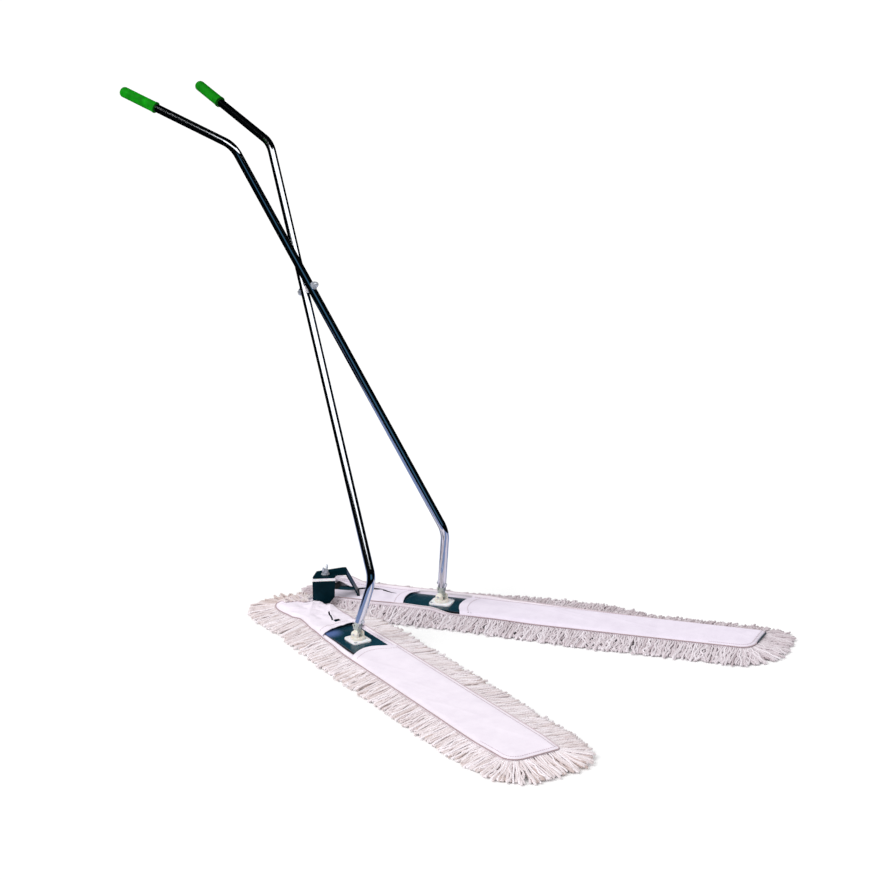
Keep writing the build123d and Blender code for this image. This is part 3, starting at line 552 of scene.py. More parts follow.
def pocket_sheet(side, part, s, t, z, slots=()):
    """A pocket as a sheet, with straight slots cut where metal passes or it is torn, and then thickened."""
    faces = mirrored(side, grid_faces(*s.shape))
    made = piece(f"{side}_{part}_canvas", on_loose(side, s, t, z), faces[:, ::-1] if part == "tip" else faces,
                 CANVAS[side], f"{side}_mop", cloth_map(s, t))
    for slot in slots:
        cut_slot(made.data, *slot)
    thicken(made, "cloth", CLOTH)
    LEVELS[side, part], SHEETS[side, part] = z, made
    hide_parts(f"{side}_{part}_pocket")


print("frame's top at", round(FRAME_TOP, 2), "mm, base cloth's at", round(CLOTH_TOP, 2))

# %% [markdown]
# The long pockets are plain but for the hem at the window: the cloth is turned under there, so it stands a
# little higher for 24 mm, with a dent where the stitching pulls it down.

# %% Long pockets
HEM, HEM_RISE, HEM_SEWN = 24.0, 0.7, 21.0


def hem_rise(s, edge):
    """A low step over the hem, less a dent of the same depth at the stitching."""
    inward = np.abs(s - edge)
    return HEM_RISE * (1 - smooth_step(inward, HEM - 1, HEM + 2) - np.exp(-((inward - HEM_SEWN) / 1.5) ** 2))


for side in WAY:
    s, t = pocket_points(side, "tip", 260)
    pocket_sheet(side, "tip", s, t, pocket_height(side, s, t, 0) + hem_rise(s, window_edge(f"{side}_tip", t)))
print("long pockets", [o.name for o in SHEETS.values()])

# %% [markdown]
# The short pockets lie over the hinge brackets' feet. Each is the plain pocket plus a sum of rises, for
# what lies under the cloth and for how it was pulled about, and the slits are cut out of it afterwards.

# %% Helpers for the short pockets
def hump(s, t, place, size, height):
    """A flat-topped rise over an oval: height times a smooth step of the distance in oval sizes."""
    far = np.hypot((s - place[0]) / size[0], (t - place[1]) / size[1])
    return height * (1 - smooth_step(far, 0.75, 1.35))


def slit_distance(x, y, start, along, length):
    """Distance in plan from a straight slit, and how far along the slit the nearest place is."""
    way = np.array(along) / np.hypot(*along)
    reach = np.clip((x - start[0]) * way[0] + (y - start[1]) * way[1], 0, length)
    return np.hypot(x - start[0] - reach * way[0], y - start[1] - reach * way[1]), reach


def hem_bow(s, t, edge, height):
    """The free edge bows up in the middle: a bell of the distance from it times a parabola across the mop."""
    return height * np.exp(-(np.abs(s - edge) / 16) ** 2) * (1 - (np.abs(t - CENTRE_OFFSET) / 57) ** 2)


UPRIGHT_TURN = np.radians(43.5)
UP_ALONG = np.array([np.cos(UPRIGHT_TURN), np.sin(UPRIGHT_TURN)])
UP_ACROSS = np.array([-UP_ALONG[1], UP_ALONG[0]])


def by_plates(u, v):
    """Plan point in metres from millimetres along and across the brackets' plates, seen from the hinge."""
    return HINGE[:2] / 1000 + (UP_ALONG * u + UP_ACROSS * v) / 1000


def in_plan(side, s, t):
    """Plan points in metres of places on the loose cloth."""
    return on_mop(side, *eased(side, s, t), 0.0)[..., :2]


# %% [markdown]
# The near short pocket is slit for the upright plate and gapes in front of it. It lies over the bracket's
# foot and its two rivets, is drawn into folds by the slit, and has two small tears.

# %% Near short pocket
OPENS = 0.38 * UP_ALONG - 0.925 * UP_ACROSS
# Place, size and height of the rise over the foot, and places of its rivets
NEAR_FOOT = ((36, 40), (46, 32), 2.8)
FOOT_RIVETS = ((-23, -30), (-7, -52))
RIVET_SIZE, RIVET_RISE = (7, 7), 1.7
# Start and end of each fold, and of the long tear, and the place of the short one
FOLDS = (((14, 43), (86, 98)), ((25, 32), (79, 78)), ((58, 24), (94, 45)))
TEAR, SHORT_TEAR = ((86.0, 47.0), (139.0, 64.0)), (150.0, 60.0)

s, t = pocket_points("near", "apex", 200, 81)
edge = window_edge("near_apex", t)
x, y = np.moveaxis(in_plan("near", s, t), -1, 0) * 1000
off_slit, _ = slit_distance(x, y, by_plates(-32.5, -18.5) * 1000, UP_ALONG, 50)
off_flap, _ = slit_distance(x, y, by_plates(3, -14) * 1000, OPENS, 40)
rumple = 5.0 * np.abs(2 * smooth_noise(s / 34 + 4.2, t / 30 + 0.4 * s / 34 + 2.7) - 1)
rumple = rumple * smooth_step(off_slit, 10, 36)
z = pocket_height("near", s, t, hump(s, t, *NEAR_FOOT)) + hem_rise(s, edge)
z = z + sum(hump(x, y, by_plates(*at) * 1000, RIVET_SIZE, RIVET_RISE) for at in FOOT_RIVETS)
z = z + (rumple + 5.0 * np.exp(-(off_flap / 5) ** 2)) * smooth_step(inset("near", s, t), 0, 14)
z = z + hem_bow(s, t, edge, 3.5)
for start, end in FOLDS:
    length = np.hypot(end[0] - start[0], end[1] - start[1])
    off_fold, reach = slit_distance(s, t, start, np.subtract(end, start), length)
    z = z + 4.0 * np.clip(1 - off_fold / 10, 0, 1) * (1 - reach / length)
off_tear, _ = slit_distance(s, t, (88, 42), (53, 17), 46)
z = z + 3.0 * np.exp(-(off_tear / 4) ** 2)

torn, torn_to, torn_across = (in_plan("near", *at) for at in (*TEAR, SHORT_TEAR))
outward = (-np.sin(TURN["near"]), np.cos(TURN["near"]))
upright_slit = (by_plates(-32.5, -21.3), UP_ALONG, 0.056, 0.0056)
gaping = (by_plates(-15, -19), OPENS, 0.040, 0.018)
tears = ((torn, torn_to - torn, 0.054, 0.0034), (torn_across, outward, 0.015, 0.012))
pocket_sheet("near", "apex", s, t, z, (upright_slit, gaping, *tears))
print("near short pocket's levels", round(float(z.min()), 1), "to", round(float(z.max()), 1), "mm")

# %% [markdown]
# The far short pocket has a long slit along it, one lip standing over the other like a mouth at the apex,
# and a slot for the strap that comes down from the upper leaf.

# %% Far short pocket
FAR_FOOT = ((90, 48), (44, 40), 5.4)
# Start and end of the slit, and where the two wider cuts of the mouth begin
SLIT, MOUTH, MOUTH_CORNER = ((-6.0, 73.5), (148.0, 82.0)), (-19.0, 67.0), (-6.0, 70.0)

s, t = pocket_points("far", "apex", 200, 81)
edge = window_edge("far_apex", t)
line = 75 + 0.055 * s
lip = np.exp(-np.clip(t - line, 0, None) / 22) * (t > line) * (1 - smooth_step(s, 110, 150))
lip = lip * smooth_step(SLEEVE["far"][3] - t, 0, 10)
z = pocket_height("far", s, t, hump(s, t, *FAR_FOOT)) + hem_rise(s, edge)
z = z + (4.2 + 25.0 * (1 - smooth_step(s, -6, 30))) * lip
z = z + hem_bow(s, t, edge, 3.0)

slit_from, slit_to, mouth_from, mouth_on = (in_plan("far", *at) for at in (*SLIT, MOUTH, MOUTH_CORNER))
slit_way = slit_to - slit_from
strap_slot = (by_plates(72.5, -4), UP_ALONG, 0.007, 0.051)
mouth = ((slit_from, slit_way, 0.152, 0.0026), (mouth_from, slit_way, 0.066, 0.0215),
         (mouth_on, slit_way, 0.094, 0.008))
pocket_sheet("far", "apex", s, t, z, (strap_slot, *mouth))
print("far short pocket's levels", round(float(z.min()), 1), "to", round(float(z.max()), 1), "mm")

# %% [markdown]
# Under the frame lies the sleeve's backing, the cloth that the yarn is sewn to. It shows only in the
# window, as a strip either side of the steel, but the sleeve isn't whole without it. It is a sheet on the
# same grid, sewn edge to sewn edge, painted near black inside the far mouth as the shade under the lip,
# and it swells up beside the steel along the near window's outer side.

# %% Backing cloth
SWELL = 4.8
SLOPE, LONG_SLOPE = 7.0, 13.5
# Place, size and darkness of the painted shade inside the far mouth
MOUTH_SHADE = ((-12, 80), (24, 26), 0.95)
for side in WAY:
    t = crowded(side, 41, 0.6)
    s, t = between(end_edge(side, t, False), end_edge(side, t, True), t, 240, 0.001)
    slope = np.where((side == "far") & (t > CENTRE_OFFSET), LONG_SLOPE, SLOPE)
    z = CLOTH_TOP - 0.05 + lifted(side, s, t) * (1 - smooth_step(inset(side, s, t) / slope, 0, 1))
    if side == "near":
        inward = SLEEVE[side][3] - t
        beside = smooth_step(inward, 1, 9) * (1 - smooth_step(inward, 12, 14.5))
        z = z + SWELL * beside * smooth_step(s, 150, 190) * (1 - smooth_step(s, 330, 360))
    # Painted shade: near black on the far backing inside the mouth, where the lip above shades it
    soil = hump(s, t, *MOUTH_SHADE) * (side == "far")
    backing = piece(f"{side}_backing", on_loose(side, s, t, z), mirrored(side, grid_faces(*s.shape)),
                    CANVAS[side], f"{side}_mop", cloth_map(s, t), {"soil": soil})
    thicken(backing, "cloth", CLOTH)
    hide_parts(f"{side}_base_cloth")
    SHEETS[side, "backing"] = backing
print("cloths so far", len(SHEETS))

# %% [markdown]
# The edge tape is folded over the raw edges and sewn through, which leaves a low round welt. It is a
# profile carried round the seam: an oval whose width swells and shrinks a little along the way, taller on
# the far mop. A mauve thread runs in the groove on its outer side, and that is the thin line that shows
# round the canvas from a step away. The mauve is the thread's own colour; it is drawn darker on the sides
# that face the camera, as painted shade of the groove, and paler away from the camera and in the far window.

# %% Edge tape and seam thread
def carried(side, profile, steps, uneven=0.0):
    """A closed profile of (outward, up) points carried round the eased seam, its width uneven by a share."""
    s, t, a, _ = seam(side, steps)
    swell = 1 + uneven * (smooth_noise(np.arange(steps) / 9.0, np.arange(steps) * 0 + 5.5) - 0.5)
    out, up = np.array(profile).T
    out = out * swell[:, None]
    s, t, a = s[:, None], t[:, None], a[:, None]
    level = EDGE_LEVEL + lifted(side, s, t) + up
    points = on_loose(side, s + out * np.cos(a), t + out * np.sin(a), level)
    return points, mirrored(side, grid_faces(steps, len(profile), True, True))


TAPE_STEPS, THREAD_STEPS = 900, 1800
WELT_IN, WELT_WIDTH, WELT_TOP = 2.6, 3.1, 1.4
WELT_HEIGHT = {"near": 2.2, "far": 5.0}
# About the length of a step along the thread, and that of a twist
THREAD_STEP, THREAD_PITCH = 1.25, 4.5
# Tone of the thread on the sides facing the camera, kept low as painted shade of the groove
CAMERA_SIDE_SHADE_TONE = {"near": 0.1, "far": 0.25}
EDGING = {side: [] for side in WAY}
around = np.linspace(0, 2 * np.pi, 12, endpoint=False)
six_around = around[::2]
for side in WAY:
    tall = WELT_HEIGHT[side]
    welt = np.stack([-WELT_IN + WELT_WIDTH * np.cos(around), WELT_TOP - tall + tall * np.sin(around)], -1)
    points, faces = carried(side, welt, TAPE_STEPS, 0.25)
    run = np.arange(TAPE_STEPS) * seam(side, 10)[3] / TAPE_STEPS
    tape = piece(f"{side}_edge_tape", points, faces, TAPE, f"{side}_mop",
                 cloth_map(np.repeat(run, len(around)), np.tile(around * WELT_IN, TAPE_STEPS)))
    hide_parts(f"{side}_binding")
    EDGING[side].append(tape)

    groove = np.stack([0.4 + 1.25 * np.cos(six_around), 1.0 + 1.1 * np.sin(six_around)], -1)
    points, faces = carried(side, groove, THREAD_STEPS)
    s, _, a, _ = seam(side, THREAD_STEPS)
    # Painted shade: the thread is darker where the camera looks into the groove, paler away from it and in
    # the far window
    shaded_thread_tone = CAMERA_SIDE_SHADE_TONE[side] + 0.6 * (0.5 + 0.5 * WAY[side] * np.sin(a)) ** 2
    in_window = smooth_step(s, 150, 175) * (1 - smooth_step(s, 330, 380)) * (side == "far")
    run = np.arange(THREAD_STEPS) * THREAD_STEP / THREAD_PITCH
    ply = np.stack([np.tile(six_around / np.pi, THREAD_STEPS), np.repeat(run, len(six_around))], -1)
    thread = piece(f"{side}_seam_thread", points, faces, THREAD, f"{side}_mop", {"ply": ply},
                   {"tone": np.repeat(np.maximum(shaded_thread_tone, in_window), len(six_around))})
    EDGING[side].append(thread)
    print(f"{side} seam", round(float(seam(side, 10)[3])), "mm, edged with", [o.name for o in EDGING[side]])

# %% [markdown]
# The fringe is what makes a dust mop: cut ends of yarn, sewn in rows under the edge, hanging out 60 mm all
# round. A particle system could grow them, but each yarn is simple enough for a formula: out from the seam,
# falling to the floor, leaning a little to one side and wavering on the way. Yarns are gathered in tufts,
# so their ends lean together and leave gaps between. All the tubes of a row are worked out at once.

# %% Yarn shape
SIDES, RINGS = 5, 9
# Turns a level direction a quarter way round and drops what isn't level
QUARTER_TURN = np.array([[0, 1, 0], [-1, 0, 0], [0, 0, 0]])


def unit(way):
    """Directions of length 1."""
    return way / np.linalg.norm(way, axis=-1, keepdims=True)


def tubes(paths, radii, side_way):
    """Closed tubes round many paths (n, rings, 3): rings square to the path, and a point at each end.

    side_way is a level direction for each path, from which its rings start. Returns points, quads and
    triangles.
    """
    n, rings, _ = paths.shape
    along = unit(np.gradient(paths, axis=1))
    across = unit(side_way[:, None] - (side_way[:, None] * along).sum(-1, keepdims=True) * along)
    over = np.cross(along, across)
    turn = np.linspace(0, 2 * np.pi, SIDES, endpoint=False)
    ring = across[:, :, None] * np.cos(turn)[:, None] + over[:, :, None] * np.sin(turn)[:, None]
    skin = paths[:, :, None] + ring * radii[:, :, None, None]
    ends = paths[:, [0, -1]] + along[:, [0, -1]] * radii[:, [0, -1], None] * np.array([[-0.4], [0.5]])
    points = np.concatenate([skin.reshape(n, -1, 3), ends], 1)
    quads = grid_faces(rings, SIDES, close_columns=True)
    k = np.arange(SIDES)
    last = (rings - 1) * SIDES
    caps = np.concatenate([np.stack([(k + 1) % SIDES, k, 0 * k + rings * SIDES], -1),
                           np.stack([last + k, last + (k + 1) % SIDES, 0 * k + rings * SIDES + 1], -1)])
    shift = np.arange(n)[:, None, None] * (rings * SIDES + 2)
    return points, (quads + shift).reshape(-1, 4), (caps + shift).reshape(-1, 3)


def tube_maps(n, rings, lengths, turns, pitch):
    """Map of each tube: turns round it and pitches along it, for the corners of quads and then of caps."""
    k, j = np.meshgrid(np.arange(SIDES), np.arange(rings - 1))
    round_it = np.stack([k, k + 1, k + 1, k], -1).reshape(-1, 4) * turns / SIDES
    along = np.stack([j, j, j + 1, j + 1], -1).reshape(-1, 4) / (rings - 1)
    along = along * lengths[:, None, None] / pitch
    quads = np.stack([np.broadcast_to(round_it, along.shape), along], -1)
    caps = np.zeros((n, 2 * SIDES, 3, 2)) + np.array([0, 0.25])
    return {"ply": np.concatenate([quads.reshape(-1, 2), caps.reshape(-1, 2)])}


def yarn_piece(name, side, finish, paths, radii, side_way, lengths, pitch, tone):
    """Tubes as one piece of a mop, mapped two plies to a turn and each with its tone."""
    points, quads, caps = tubes(paths, radii, side_way)
    n, each = points.shape[:2]
    print(name, n, "tubes,", 2 * len(quads) + len(caps), "triangles")
    return piece(name, points.reshape(-1, 3), [quads, caps], finish, f"{side}_mop",
                 tube_maps(n, paths.shape[1], lengths, 2.0, pitch), {"tone": np.repeat(tone, each)})


# %% [markdown]
# Rows of the fringe differ in how deep they start and how far they reach. The camera's side of each mop has
# been swept, so its yarns lie down to the floor, while those on the other side still stand out. At the apex
# the two fringes meet, and neither can pass the middle of the V, so a yarn that would is cut short there,
# and the near mop's top row is pushed back over its canvas. Deeper rows are drawn darker as painted shade,
# and so are the yarns at the apex end and on the far mop, most of all on its side away from the camera.

# %% Fringe rows
REACH = 60.0
SEWN_IN = 3.5
TUFT = 14.0
YARN_RADIUS = 2.25
YARN_PITCH = 7.0
# Levels of a yarn's end on the floor and of its lowest place, and the height of one that lies over the canvas
YARN_END, YARN_LOWEST, OVER_CANVAS = 2.8, 2.3, 2.6
# Depth of the root under the edge, reach as a share, spread of the ends' levels, spacing, tone (lower in
# deeper rows, as painted shade)
ROWS = {"top": (1.8, 1.00, 1.6, 5.0, 0.86), "upper": (4.0, 0.98, 1.2, 4.4, 0.55),
        "lower": (7.0, 0.90, 0.8, 4.2, 0.1)}
# Millimetres added at the free end, along the inner side, along the outer side and at the apex
LONGER = {"near": (12.0, 4.0, -5.0, 5.0), "far": (2.0, 0.0, -8.0, 18.0)}
# Where along the outer side that sets in
LONGER_FROM = {"near": (330, 420), "far": (620, 760)}
# Sideways curl in mm, waves along a yarn, and how far a yarn that is pushed back lies over the canvas
CURL = {"near": 2.3, "far": 3.4}
WAVES = {"near": 1.2, "far": 1.7}
FOLDED = 56.0
FAR_OFF = 1000.0


def room(x, y, dx, dy):
    """Length that a yarn may have before it meets the other mop's share.

    That begins at the line y = 0 in front of the hinge, and at the line square to the far mop behind it.
    """
    gap = np.full(x.shape, FAR_OFF)
    slope = -np.tan(abs(TURN["far"]))
    for nx, ny, here in ((0.0, 1.0, x + dx * 30 > 0), (-slope, 1.0, x + dx * 30 <= 0)):
        off, gain = x * nx + y * ny, dx * nx + dy * ny
        ahead = np.where(off * gain < 0, -off / np.where(np.abs(gain) < 1e-6, 1e-6, gain), FAR_OFF)
        gap = np.where(here, np.minimum(gap, ahead), gap)
    return np.maximum(gap - 2.0, 8.0)


def fringe_row(side, row, seed):
    """Paths, radii, ring starts, tones and lengths of a row of yarn, spaced evenly on a line halfway out.

    A yarn goes out along the seam's normal and down from root to end by a power of the share f of its length,
    leans sideways with its tuft, and wavers by a sine.
    """
    rng = np.random.default_rng(seed)
    depth, share, spread, spacing, shade = ROWS[row]
    n = int(seam(side, 10, REACH / 2)[3] / spacing)
    s, t, a, _ = seam(side, n, REACH / 2)
    # How far the outward normal points along and across the mop, and away from the camera
    c, d = np.cos(a), np.sin(a)
    away = 0.5 + 0.5 * WAY[side] * d
    place = (np.arange(n) + 0.9 * (rng.random(n) - 0.5)) * spacing
    tuft = np.floor(place / TUFT + 0.5 * np.sin(place / 47) + 0.3 * np.sin(place / 17)).astype(int) + 1
    tuft_lean = rng.normal(0, 1.5 * CURL[side], tuft.max() + 2)
    centre = np.bincount(tuft, place) / np.maximum(np.bincount(tuft), 1)
    lean = tuft_lean[tuft] + 0.5 * (centre[tuft] - place) + rng.normal(0, 1.1 * CURL[side], n)

    at_tip, inner, outer, at_apex = LONGER[side]
    length = REACH * share * (1 + 0.07 * rng.standard_normal(n)) * (1 + 0.03 * np.sin(tuft * 2.4))
    length = length + at_tip * np.maximum(c, 0) ** 2 + inner * np.maximum(-d, 0) ** 2
    length = length + outer * np.maximum(d, 0) ** 2 * smooth_step(s, *LONGER_FROM[side])
    length = length + at_apex * np.maximum(-c, 0) ** 2
    root_s, root_t = s - c * (REACH / 2 + SEWN_IN), t - d * (REACH / 2 + SEWN_IN)
    plan = on_mop(side, np.stack([root_s, root_s + c]), np.stack([root_t, root_t + d]), 0.0)
    plan = plan * 1000 - HINGE * (1, 1, 0)
    way = plan[1] - plan[0]
    length = np.minimum(length + SEWN_IN, room(plan[0, :, 0], plan[0, :, 1], way[:, 0], way[:, 1]))

    lift = lifted(side, root_s, root_t)
    settled = 0.5 * away**2
    if side == "far":
        shown = smooth_step(root_s, 60, 120) * (1 - smooth_step(root_s, 300, 350))
        lift = lift - np.minimum(6.0, lift) * shown * (1 - outer_share(side, root_t))
        settled = away**2 * smooth_step(root_s, 270, 520) * (1 - 0.85 * smooth_step(root_s, 620, 760))
    ends = YARN_END + (8.0 + 0.4 * lift) * settled * share + np.abs(rng.normal(0, spread, n))
    f = np.linspace(0, 1, RINGS)
    waver = rng.normal(0, CURL[side], n)[:, None]
    waver = waver * np.sin(2 * np.pi * (WAVES[side] * f + rng.random(n)[:, None]))
    sideways = lean[:, None] * f**1.4 + waver * np.minimum(3 * f, 1)
    roots = (EDGE_LEVEL - depth + lift)[:, None]
    z = roots + (ends[:, None] - roots) * f**0.9 + rng.normal(0.2, 0.7, n)[:, None] * np.sin(np.pi * f)

    back = ((side == "near") & (row == "top") & (c < -0.3) & (root_t < 100))[:, None]
    folded = FOLDED * (1 - 0.6 * smooth_step(root_t, 55, 100))[:, None] * f**1.2
    out = np.where(back, 8 * np.sin(np.pi * np.minimum(2 * f, 1)) - folded, length[:, None] * f)
    out_s = root_s[:, None] + c[:, None] * out - d[:, None] * sideways
    out_t = root_t[:, None] + d[:, None] * out + c[:, None] * sideways
    over = cloth_level("near", "apex", out_s, out_t) + OVER_CANVAS
    z = np.where(back, roots + (over - roots) * smooth_step(f, 0, 0.25), z)
    paths = on_mop(side, *eased(side, out_s, out_t), np.maximum(z, YARN_LOWEST))

    thick = YARN_RADIUS + 0.25 * rng.standard_normal(n).clip(-2, 2)
    radii = thick[:, None] * (1 - 0.10 * np.sin(np.pi * f) + 0.1 * f**6)
    side_way = unit(np.gradient(paths, axis=1)[:, 0] @ QUARTER_TURN)
    # Painted shade: darker yarns at the apex end and on the far mop, most on its side away from the camera
    painted_shade = 0.5 * np.maximum(-c, 0) + (0.3 + 0.35 * away**2 if side == "far" else 0.0)
    tone = np.clip(shade * (1 - painted_shade) + 0.18 * rng.standard_normal(n), 0, 1)
    return paths, radii / 1000, side_way, tone, length


FRINGE = {side: [] for side in WAY}
for number, (side, row) in enumerate((side, row) for side in WAY for row in ROWS):
    paths, radii, side_way, tone, length = fringe_row(side, row, 100 + number)
    made = yarn_piece(f"{side}_fringe_{row}", side, YARN[side], paths, radii, side_way, length, YARN_PITCH,
                      tone)
    if row == "top":
        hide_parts(f"{side}_fringe")
    FRINGE[side].append(made)

# %% [markdown]
# Two rows of stitches hold the canvas: one along the tape, 8 mm in from the seam, and one along the hem of
# every pocket. A stitch is a short length of thread that comes up through the cloth and goes down again, so
# each is a tube of three rings set on the cloth's own grid. Stitches in the window and by the upright's
# slit are left out, and so are those on the camera's side, which are sunk in the cloth.

# %% Stitches
STITCH, STITCH_RADIUS, STITCH_PITCH, STITCH_RISE = 3.2, 0.0006, 1.6, 0.45
STITCH_STEPS, STITCH_INSET, HEM_STEP = 460, 8.0, 4.8


def stitches(side, part, s, t):
    """Stitches at s, t along the line that those make: up through the cloth, over, and down again."""
    way = unit(np.stack([np.gradient(s), np.gradient(t)], -1)) * STITCH / 2
    step = np.array([-1, 0, 1])
    s, t = s[:, None] + way[:, :1] * step, t[:, None] + way[:, 1:] * step
    level = cloth_level(side, part, s, t) + np.array([0.0, STITCH_RISE, 0.0])
    return on_mop(side, *eased(side, s, t), level)


for side in WAY:
    s, t, a, _ = seam(side, STITCH_STEPS, -STITCH_INSET)
    away = WAY[side] * np.sin(a)
    lines, tones = [], []
    for part, outside in (("apex", -1), ("tip", 1)):
        kept = outside * (s - window_edge(f"{side}_{part}", t)) > 6
        kept &= (away > -0.4) | (s > SLEEVE[side][1] - 110)
        kept &= (side == "far") | (np.abs(s - 30) > 40)
        lines.append(stitches(side, part, s[kept], t[kept]))
        tones.append(0.95 - 0.45 * smooth_step(away[kept], -0.5, 1))
        across = np.arange(SLEEVE[side][2] + 9, SLEEVE[side][3] - 9, HEM_STEP)
        hem = window_edge(f"{side}_{part}", across) + outside * HEM_SEWN
        lines.append(stitches(side, part, hem, across))
        tones.append(np.full(len(across), 0.7))
    paths = np.concatenate(lines)
    n = len(paths)
    side_way = (paths[:, 2] - paths[:, 0]) @ QUARTER_TURN
    sewn = yarn_piece(f"{side}_stitches", side, THREAD, paths, np.full((n, 3), STITCH_RADIUS), side_way,
                      np.full(n, STITCH), STITCH_PITCH, np.concatenate(tones))
    EDGING[side].append(sewn)

# %% [markdown]
# Along the far mop's free end a dark cord lies in the groove beside the tape, as painted shade of the gap
# between the tape and the fringe there. It is one tube on a stretch of the seam, thinner toward its ends.

# %% Dark cord
# Painted shade: a near-black cord where the gap at the free end lies in shade
SHADE_CORD, tree = new_finish("dark_cord_painted_shade", Roughness=0.9, Specular_IOR_Level=0.1)
# Strands about 2.5 mm long
lay = noise(tree, own_place(tree), 400.0, 3.0)
wear(tree, Base_Color=ramp(tree, lay, (0.0, "#2C3840"), (1.0, "#5A6670")))
CORD_RADIUS, CORD_LEVEL = 0.0021, 1.4

s, t, a, _ = seam("far", THREAD_STEPS, 1.0)
kept = (np.cos(a) > 0.3) & (t > 40)
s, t = s[kept], t[kept]
line = on_mop("far", *eased("far", s, t), EDGE_LEVEL + lifted("far", s, t) + CORD_LEVEL)[None]
thin = CORD_RADIUS * np.sin(np.linspace(0.15, np.pi - 0.15, len(s))) ** 0.5
points, quads, caps = tubes(line, thin[None], (line[:, -1] - line[:, 0]) @ QUARTER_TURN)
shade_cord = piece("far_end_shade_cord", points.reshape(-1, 3), [quads, caps], SHADE_CORD, "far_mop")
EDGING["far"].append(shade_cord)
print(shade_cord.name, round(float(np.linalg.norm(np.diff(line[0], axis=0), axis=1).sum() * 1000)), "mm long")

# %% [markdown]
# Underneath, the mop is covered with rows of yarn loops that lie on the floor. They are only seen when the
# mop is lifted, so the pile is one closed surface: a flat top, and an underside of rounded loops in rows.

# %% Pile under the mop
LOOP_ROW, LOOP, LOOP_DEPTH, LOOP_PITCH = 11.4, 7.0, 6.5, 4.5
for side in WAY:
    t0, t1 = SLEEVE[side][2:]
    t = t0 + 1.5 + (t1 - t0 - 3) * np.linspace(0, 1, 65)
    s, t = between(end_edge(side, t, False), end_edge(side, t, True), t, 360, 0.002)
    rows_over = np.abs(np.sin(np.pi * (t - t0) / LOOP_ROW))
    loops = s / LOOP + 0.5 * np.floor((t - t0) / LOOP_ROW) + 0.3 * smooth_noise(s / 20, t / 20)
    loops = np.abs(np.sin(np.pi * loops))
    edge = smooth_step(inset(side, s, t), 0, 9)
    under = LOOP_DEPTH - LOOP_DEPTH * edge * (0.35 + 0.65 * rows_over**0.6 * (0.45 + 0.55 * loops**0.7))
    points = np.concatenate([on_loose(side, s, t, z) for z in (CLOTH_TOP - 1.3, under)])
    rows, columns = s.shape
    count = rows * columns
    top = grid_faces(rows, columns)
    rim = np.concatenate([np.arange(columns), np.arange(1, rows) * columns + columns - 1,
                          (rows - 1) * columns + np.arange(columns - 2, -1, -1),
                          np.arange(rows - 2, 0, -1) * columns])
    after = np.roll(rim, -1)
    walls = np.stack([rim, rim + count, after + count, after], -1)
    faces = np.concatenate([top, top[:, ::-1] + count, walls[:, ::-1]])
    pile = piece(f"{side}_pile", points, mirrored(side, faces), YARN[side], f"{side}_mop",
                 {"ply": np.tile(np.stack([s, t], -1).reshape(-1, 2) / LOOP_PITCH, (2, 1))},
                 {"tone": np.tile(smooth_noise(s / 9, t / 9).ravel(), 2)})
    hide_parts(f"{side}_yarn_pad")
    print(pile.name, 2 * len(faces), "triangles")

# %% [markdown]
# Each pocket's cut length is worked out from the sleeve's ends. Pockets are cut as wide as the sleeve and
# its turned edges, and the backing is the whole sleeve.

# %% Cloth sizes
POCKET_WIDTH, TIP_FROM, APEX_TO = 118.0, 300.0, 165.0
for (side, part), cloth in SHEETS.items():
    s0, s1, t0, t1 = SLEEVE[side]
    if part == "backing":
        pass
    else:
        run = s1 - TIP_FROM if part == "tip" else APEX_TO - s0
print("cloths declared", len(SHEETS))

# %% [markdown]
# The handles are chrome plate over polished steel: a mirror, a little blue, with fine wiping marks that
# only show as uneven gloss. The noise that gives them runs no particular way, since the tubes run every
# way.

# %% Chrome
CHROME, tree = new_finish("chrome_plate", Base_Color=linear("#DDE1E8"), Metallic=1.0)
# Wiped patches about 40 mm across
wipe = noise(tree, own_place(tree), 25.0, 3.0, 0.6)
wear(tree, Roughness=ranged(tree, wipe, 0.04, 0.09))
print("handle finish", CHROME.name)

# %% [markdown]
# Chrome shows every facet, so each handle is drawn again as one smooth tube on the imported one's centre
# line: out of the fork, bent back, straight past the cross bolt, and bent again to the grip. It is a circle
# carried along that line, which is straight runs joined by arcs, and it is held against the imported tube
# afterwards. An extra ring 1 mm from each end keeps the soft shading of the rim out of the straight runs.

# %% Handles
LEAN = np.radians(26.8)
RISE, BOLT, ACROSS = np.array([[-np.sin(LEAN), 0, np.cos(LEAN)], [np.cos(LEAN), 0, np.sin(LEAN)], [0, 1, 0]])
TUBE_RADIUS, TUBE_WALL, CROSS_GAP, BEND_RADIUS = 9.5, 1.2, 3.0, 62.0
LOWER_BEND = {"near": np.radians(42.0), "far": np.radians(38.3)}
UPPER_BEND, GRIP_SPLAY = np.radians([41.4, 4.3])
TUBE_START, UPPER_REACH, GRIP_LEG = 12.0, 357.7, 311.0


